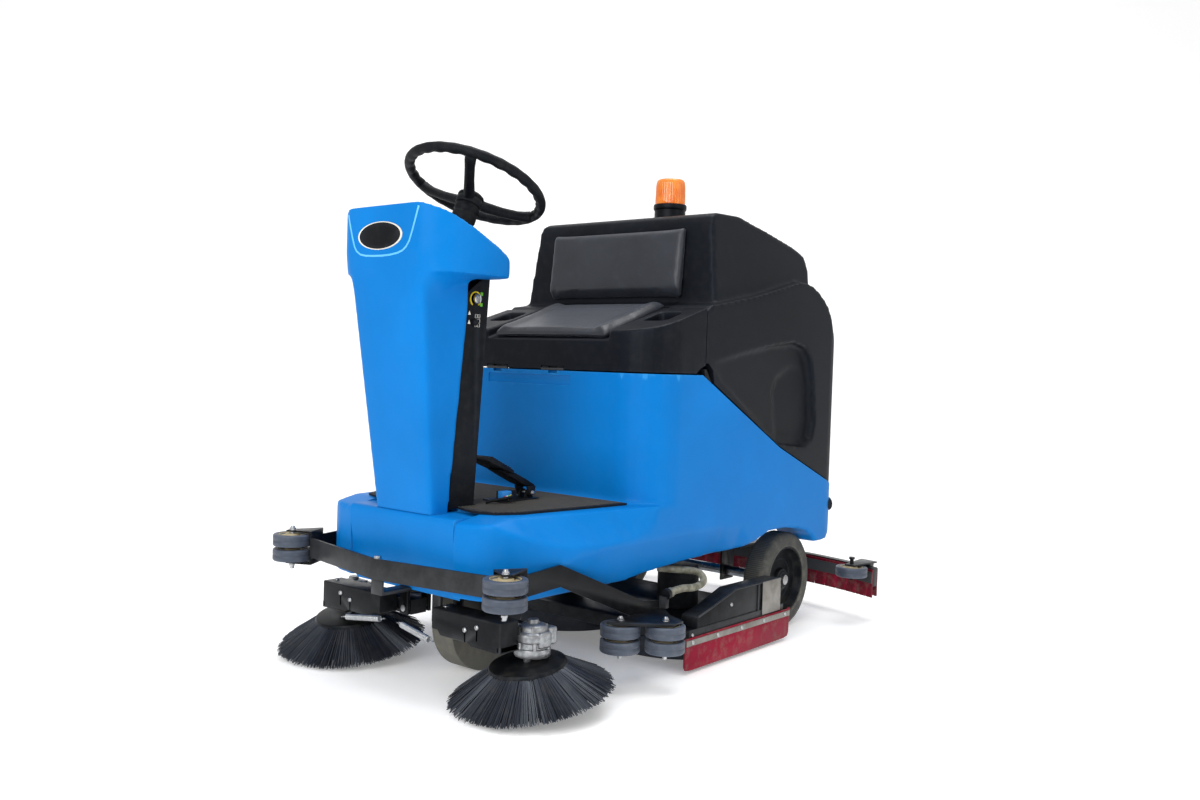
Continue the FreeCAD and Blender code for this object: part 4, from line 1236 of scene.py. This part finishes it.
def makeSprings():
    start, end = Vector((38.6, -806, 167)), Vector((154, -819, 153.6))
    along = (end - start).normalized()
    holder = newPiece("coil", bmesh.new())
    length = (end - start).length / 1000 - 0.004
    coil = springTree.run(holder, {"Turns": float(springSizes["turns"]), "Radius": springSizes["radius"],
                                   "Length": length, "Wire": springSizes["wire"],
                                   "Material": finishes["zinc"]})
    coil.data.transform(at(*(start + along * 2)) @ towards(along))
    hooks = []
    for spot, way in ((start, -1), (end, 1)):
        line = []
        for i in range(9):
            turn = math.radians(-60 + 280 * i / 8)
            reach = along * way * (4 + 5 * (1 - math.cos(turn)))
            line.append(tuple(spot + reach + Vector((0, 5 * math.sin(turn), 0))))
        hooks.append(tubeAlong(line, 1.1, 8))
    left = weld("spring", [coil] + hooks)
    right = mirrorMesh(left)
    finishPiece(weld("springs", [left, right]), "tension_springs", "chassis", "zinc",
                ["brush_springs"], 60)


# Bumper and rails.

def makeBumper():
    bar = cadCopy("bumper_bar", 1.6, 2)
    finishPiece(bar, "bumper_rail", "chassis", "blackPaint", ["bumper_bar"], 40)
    spots = [((0, -850, 325), (0, 0, 1)), ((375, -225, 165), (1, 0, 0)), ((-375, -225, 165), (-1, 0, 0))]
    for s in (-1, 1):
        for x, y, z in ((391, -817, 341.5), (388, -406, 173.5), (470, -330, 173.5)):
            spots.append(((s * x, y, z), (0, 0, 1)))
    heads = placePieces(hexBolt(), spots, "zinc", 1.0)
    stems = []
    for s in (-1, 1):
        for x, y, low, high in ((391, -817, 240, 352), (388, -406, 78, 184), (470, -330, 78, 184)):
            stems.append(lathe([(0, low), (4.6, low), (5.6, low + 2), (5.6, high - 2), (4.6, high),
                                (0, high)],
                               at(s * x, y, 0), 20))
    spots = [((s * x, y, z), (0, 0, -1)) for s in (-1, 1)
             for x, y, z in ((391, -817, 254), (388, -406, 95), (470, -330, 95))]
    nuts = placePieces(hexBolt(14, 7, 8), spots, "zinc", 1.0)
    finishPiece(weld("bolts", [heads, nuts] + stems), "rail_bolts", "chassis", "zinc",
                ["roller_bolts"])
    print("bumper done")


# Scrub deck, skirts and hose.

def sideBlock(s, near, far, y0, y1, z0, z1):
    # a block between two distances from the middle; s is 1 on the left and -1 on the right
    return block(*sorted((s * near, s * far)), y0, y1, z0, z1)


def makeDeck():
    housing = cadCopy("deck_housing", 1.5, 2)
    finishPiece(housing, "deck_casing", "deck", "blackPaint", ["deck_housing"], 40)
    extras = []
    for s in (-1, 1):
        x = s * 425.4
        lip = [(x, -120, 141), (x, -60, 156), (x, 20, 178), (x, 60, 189), (x, 180, 189), (x, 296, 189)]
        extras.append(tubeAlong(lip, 2.6, 8))
        extras.append(rounded(sideBlock(s, 425, 428, 176, 184, 110, 188), 1, 2))
        extras.append(rounded(sideBlock(s, 425, 428.6, -164, 319, 85, 112), 1, 2))
    finishPiece(weld("lips", extras), "deck_lips", "deck", "blackPaint")
    plates = []
    for s in (-1, 1):
        plates.append(rounded(sideBlock(s, 428.8, 431.6, 196, 296, 97, 192), 1.2, 2))
        plates.append(rounded(sideBlock(s, 435.4, 438, -188, 342, 74, 90), 0.8, 2))
    finishPiece(weld("plates", plates), "deck_plates", "deck", "bareSteel", ["skirt_clamps"])
    spots = []
    for s in (-1, 1):
        spots += [((s * 438, -160 + 119 * i, 82), (s, 0, 0)) for i in range(5)]
        spots += [((s * 428.6, -150, 98), (s, 0, 0)), ((s * 425.4, 40, 150), (s, 0, 0))]
    screws = placePieces(domeScrew(5.5, 3.6), spots, "zinc", 1.0)
    finishPiece(screws, "skirt_screws", "deck", "zinc")
    skirts = []
    for s in (-1, 1):
        outline = [(-190, 93.5), (-190, 20), (-184, 11), (-160, 8.5), (-60, 9), (120, 9), (320, 10),
                   (338, 14),
                   (344, 24), (345, 80), (350, 96), (344, 97), (338, 93.5)]
        skirts.append(rounded(solid(outline, "x", *sorted((s * 429, s * 435))), 1.2, 2))
    finishPiece(weld("skirts", skirts), "red_skirts", "deck", "redRubber",
                ["deck_skirts"])
    finishPiece(cadCopy("scrub_motors", 3.0, 3), "motor_cans", "deck", "motorPaint",
                ["scrub_motors"], 40)


hoseSizes = {"core": 8.6, "ringGap": 4.0}


def makeHose():
    # spiral hose along its held route: rings on a smooth core
    curve = bpy.data.curves.new("route", "CURVE")
    curve.dimensions = "3D"
    route = [(392, -213, 213), (394, -160, 220), (399, -100, 212), (394, -46, 222), (368, -40, 246),
             (334, -88, 250),
             (302, -140, 256)]
    spline = curve.splines.new("NURBS")
    spline.points.add(len(route) - 1)
    for point, spot in zip(spline.points, route):
        point.co = (*inMetres(*spot), 1)
    spline.order_u = 3
    spline.use_endpoint_u = True
    spline.resolution_u = 24
    holder = bpy.data.objects.new("route", curve)
    scene.collection.objects.link(holder)
    bpy.context.view_layer.update()
    line = bpy.data.meshes.new_from_object(holder.evaluated_get(bpy.context.evaluated_depsgraph_get()))
    points = [vert.co * 1000 for vert in line.vertices]
    bpy.data.objects.remove(holder)
    core = tubeAlong(points, hoseSizes["core"], 16)
    spots = []
    gone = 0.0
    for before, after in zip(points, points[1:]):
        step = (after - before).length
        while gone < step:
            spot = before.lerp(after, gone / step)
            spots.append((tuple(spot), after - before))
            gone += hoseSizes["ringGap"]
        gone -= step
    ring = lathe([(8.2, -1.0), (9.4, -1.1), (9.9, -0.4), (9.9, 0.4), (9.4, 1.1), (8.2, 1.0)], steps=20)
    rings = placePieces(ring, spots, "clearHose")
    cuff = lathe([(0, -6), (12, -6), (12.6, -3), (12.6, 16), (11.4, 18), (0, 18)],
                 at(391.8, -218, 212) @ towards((0.02, 1, 0.1)), 28)
    finishPiece(weld("hose", [core, rings, cuff]), "fill_hose", "chassis", "clearHose",
                ["water_hose"], 50)


# Squeegee.

squeegeeSizes = {"halfWidth": 515, "sweep": 100, "back": 867, "bladeGap": 34, "notchGap": 1.95}


def makeSqueegee():
    # notches along both curved blades, every third one deeper
    blades = cadCopy("squeegee_blades")
    notches = []
    sweep = squeegeeSizes["sweep"]
    radius = (squeegeeSizes["halfWidth"] ** 2 + sweep ** 2) / (2 * sweep)
    for i in range(-15, 16):
        degrees = i * squeegeeSizes["notchGap"]
        lean = math.radians(degrees)
        for shift in (0, squeegeeSizes["bladeGap"]):
            r = radius - shift
            notch = block(-2.2, 2.2, -9, 4, 78, 90 if i % 3 else 99)
            notch.data.transform(at(r * math.sin(lean), squeegeeSizes["back"] - radius + r * math.cos(lean),
                                    0,
                                    -degrees))
            notches.append(notch)
    carve(blades, [weld("notches", notches)])
    finishPiece(blades, "red_blades", "squeegee", "redRubber", ["squeegee_blades"], 40)
    body = cadCopy("squeegee_frame", 1.2, 2)
    finishPiece(body, "squeegee_carrier", "squeegee", "blackPaint", ["squeegee_frame"], 40)
    for holder in nodes["squeegee_clamp"].material_slots:
        holder.material = finishes["blackPaint"]


makeSteeringWheel()
makeRollers()
makeRearWheels()
makeSideBrushes()
makeSprings()
makeBumper()
makeDeck()
makeHose()
makeSqueegee()


# Pedal, its wiring, the floor mat and the steering neck.

pedalSizes = {"left": 46, "right": 124, "pivotY": -440, "pivotZ": 462}


def makePedal():
    # ribbed plate on a curved arm, with zinc pivots
    x0, x1 = pedalSizes["left"], pedalSizes["right"]
    plate = solid([(-617, 556), (-608, 564), (-592, 560), (-520, 526), (-520, 516), (-602, 548)], "x",
                  x0 + 2, x1 - 2)
    rounded(plate, 2.0, 3)
    arm = solid([(-530, 528), (-500, 517), (-460, 499), (-430, 484), (-425, 478), (-446, 477), (-478, 488),
                 (-515, 505), (-560, 527)], "x", x0 + 16, x1 - 16)
    rounded(arm, 3.0, 3)
    parts = [plate, arm]
    for x in (x0 + 14, x1 - 22):
        ear = solid([(-456, 480), (-449, 456), (-440, 452), (-431, 456), (-427, 480)], "x", x, x + 8)
        parts.append(rounded(ear, 1.2, 2))
    slope = Vector((0, 0.906, -0.424))
    tooth = rounded(block(-(x1 - x0) / 2 + 4, (x1 - x0) / 2 - 4, -1.6, 1.6, -0.5, 2.4), 0.7, 2)
    spots = []
    for i in range(9):
        point = Vector(((x0 + x1) / 2, -599, 563)) + slope * (4 + i * 8.6)
        spots.append((tuple(point), (0, 0.424, 0.906)))
    parts.append(placePieces(tooth, spots, "blackRubber"))
    finishPiece(weld("pedal", parts), "pedal_plate", "accelerator", "blackPlastic",
                ["pedal"], 40)
    bolts = placePieces(hexBolt(10, 5, 7),
                        [((x0 + 13, pedalSizes["pivotY"], pedalSizes["pivotZ"]), (-1, 0, 0)),
                                            ((x1 - 13, pedalSizes["pivotY"], pedalSizes["pivotZ"]),
                                             (1, 0, 0))],
                        "zinc", 1.0)
    finishPiece(bolts, "pedal_bolts", "accelerator", "zinc")


def makeWiring():
    # sensor block with its connector and short wires
    base = cadCopy("pedal_base", 1.2, 2)
    finishPiece(base, "pedal_foot", "chassis", "blackPlastic", ["pedal_base"], 40)
    plug = rounded(block(110, 128, -566, -534, 456, 476), 2, 2)
    finishPiece(plug, "blue_connector", "chassis", "connectorBlue")
    for i, (name, finish) in enumerate((("red", "redWire"), ("white", "whiteWire"), ("green", "greenMark"),
                                        ("orange", "yellowMark"))):
        y = -560 + i * 6
        line = [(127, y, 463), (134, y - 1, 464 + i), (137, y - 6, 463), (136, y - 14, 459 - i)]
        finishPiece(tubeAlong(line, 1.3, 8), name + "_wire", "chassis", finish)


matSizes = {"ribs": 36, "ribGap": 11.5, "front": -706}


def makeMat():
    # rubber mat with crosswise ribs, cut out round the column
    outline = mirroredOutline([(98, -692), (174, -714), (236, -694), (266, -640), (296, -420), (310, -296)])
    mat = solid(outline, "z", 440.5, 445.5)
    rib = rounded(block(-330, 330, -1.5, 1.5, -0.6, 1.7), 0.7, 1)
    ribs = placePieces(rib, [((0, matSizes["front"] + matSizes["ribGap"] * i, 445.4), (0, 0, 1))
                             for i in range(matSizes["ribs"])], "matRib")
    carve(ribs, [solid([(x * 0.97, y) for x, y in outline], "z", 440, 450)], "INTERSECT")
    carve(mat, [block(-103, 103, -730, -631, 430, 460)])
    carve(ribs, [block(-106, 106, -730, -628, 430, 460)])
    finishPiece(mat, "mat_sheet", "chassis", "blackRubber", ["floor_mat"], 40)
    finishPiece(ribs, "mat_ribs", "chassis", "matRib")


def makeSteeringNeck():
    profile = [(0, -229), (30, -229), (30.5, -120), (31, -112), (29.4, -109), (29.4, -104), (31.4, -101),
               (31.4, -86),
               (29.6, -83), (29.6, -79), (31.6, -76), (31.6, -66), (30, -62), (30, -60), (0, -60)]
    finishPiece(lathe(profile, steerPlace, 48), "steering_neck", "steering", "blackRubber",
                ["steering_shaft"], 40)


def makeBeams():
    # the frame, the vacuum motor and the batteries keep their shapes with softened edges
    for node, name, body, slot, finish, width in (
            ("chassis_frame", "chassis_beams", "chassis", "painted_steel", "blackPaint", 1.6),
            ("vacuum_motor", "vacuum_can", "chassis", "motor_paint", "motorPaint", 2.0),
            ("battery_pack", "battery_boxes", "chassis", "battery_case", "batteryGrey", 3.0)):
        finishPiece(cadCopy(node, width, 2), name, body, finish, [node], 40)


makePedal()
makeWiring()
makeMat()
makeSteeringNeck()
makeBeams()
print("small parts done")


# Stage, light and camera.

stageSizes = {"width": 16, "front": -7.0, "back": 5.5, "rise": 5.0, "bend": 2.2, "turn": 39.5}
viewSizes = {"spot": (2.0159, -2.4824, 0.8016), "azimuth": 39.571, "down": 1.911, "roll": 1.838,
             "lens": 32.38}


def makeStage():
    shape = bmesh.new()
    half, bend = stageSizes["width"] / 2, stageSizes["bend"]
    bendStart = stageSizes["back"] - bend
    profile = [(stageSizes["front"], 0.0), (bendStart, 0.0)]
    for i in range(1, 13):
        turn = math.radians(90 * i / 12)
        profile.append((bendStart + bend * math.sin(turn), bend * (1 - math.cos(turn))))
    profile.append((stageSizes["back"], stageSizes["rise"]))
    turned = at(0, 0, 0, stageSizes["turn"])
    rows = [[shape.verts.new(turned @ Vector((x, y, z))) for x in (-half, half)] for y, z in profile]
    for lower, upper in zip(rows, rows[1:]):
        shape.faces.new((lower[0], lower[1], upper[1], upper[0]))
    floor = newPiece("floor", shape)
    floor.data.shade_smooth()
    material, start, shader, place = startMaterial("paleFloor")
    cloud = noise(start, place, 0.8, 2)
    colour = mixColour(start, cloud, (0.93, 0.93, 0.93, 1), (0.96, 0.96, 0.96, 1))
    plug(start, shader, {"Base Color": colour}, {"Roughness": 0.7, "Emission Color": (1, 1, 1, 1),
                                                 "Emission Strength": 0.2})
    floor.data.materials.append(material)


def addLight(name, spot, target, size, power):
    light = bpy.data.lights.new(name, "AREA")
    light.shape, light.size, light.size_y = "RECTANGLE", size[0], size[1]
    light.energy = power
    lamp = bpy.data.objects.new(name, light)
    lamp.location = spot
    lamp.rotation_euler = (Vector(target) - Vector(spot)).to_track_quat("-Z", "Y").to_euler()
    scene.collection.objects.link(lamp)


def makeLights():
    world = bpy.data.worlds.new("softDay")
    world.use_nodes = True
    world.node_tree.nodes["Background"].inputs["Color"].default_value = (1, 1, 1, 1)
    world.node_tree.nodes["Background"].inputs["Strength"].default_value = 0.6
    scene.world = world
    addLight("keyLight", (1.3, -4.7, 2.7), (0, 0, 0.7), (3.4, 2.6), 135)
    addLight("sideLight", (5.0, 0.4, 2.2), (0, 0, 0.6), (2.0, 2.4), 28)
    addLight("topLight", (0.2, 0.2, 4.6), (0, 0, 0.5), (3.2, 3.2), 135)


def makeCamera():
    azimuth, down, roll = (math.radians(viewSizes[key]) for key in ("azimuth", "down", "roll"))
    ahead = Vector((-math.sin(azimuth) * math.cos(down), math.cos(azimuth) * math.cos(down), -math.sin(down)))
    right = Vector((math.cos(azimuth), math.sin(azimuth), 0))
    up = right.cross(ahead)
    rightRolled = math.cos(roll) * right + math.sin(roll) * up
    upRolled = -math.sin(roll) * right + math.cos(roll) * up
    camera = bpy.data.objects.new("camera", bpy.data.cameras.new("camera"))
    camera.data.lens, camera.data.sensor_width = viewSizes["lens"], 36
    turn = Matrix((rightRolled, upRolled, -ahead)).transposed()
    camera.matrix_world = Matrix.Translation(Vector(viewSizes["spot"])) @ turn.to_4x4()
    scene.collection.objects.link(camera)
    scene.camera = camera


makeStage()
makeLights()
makeCamera()
scene.view_settings.view_transform = "Standard"
print("stage, lights and camera are in place")
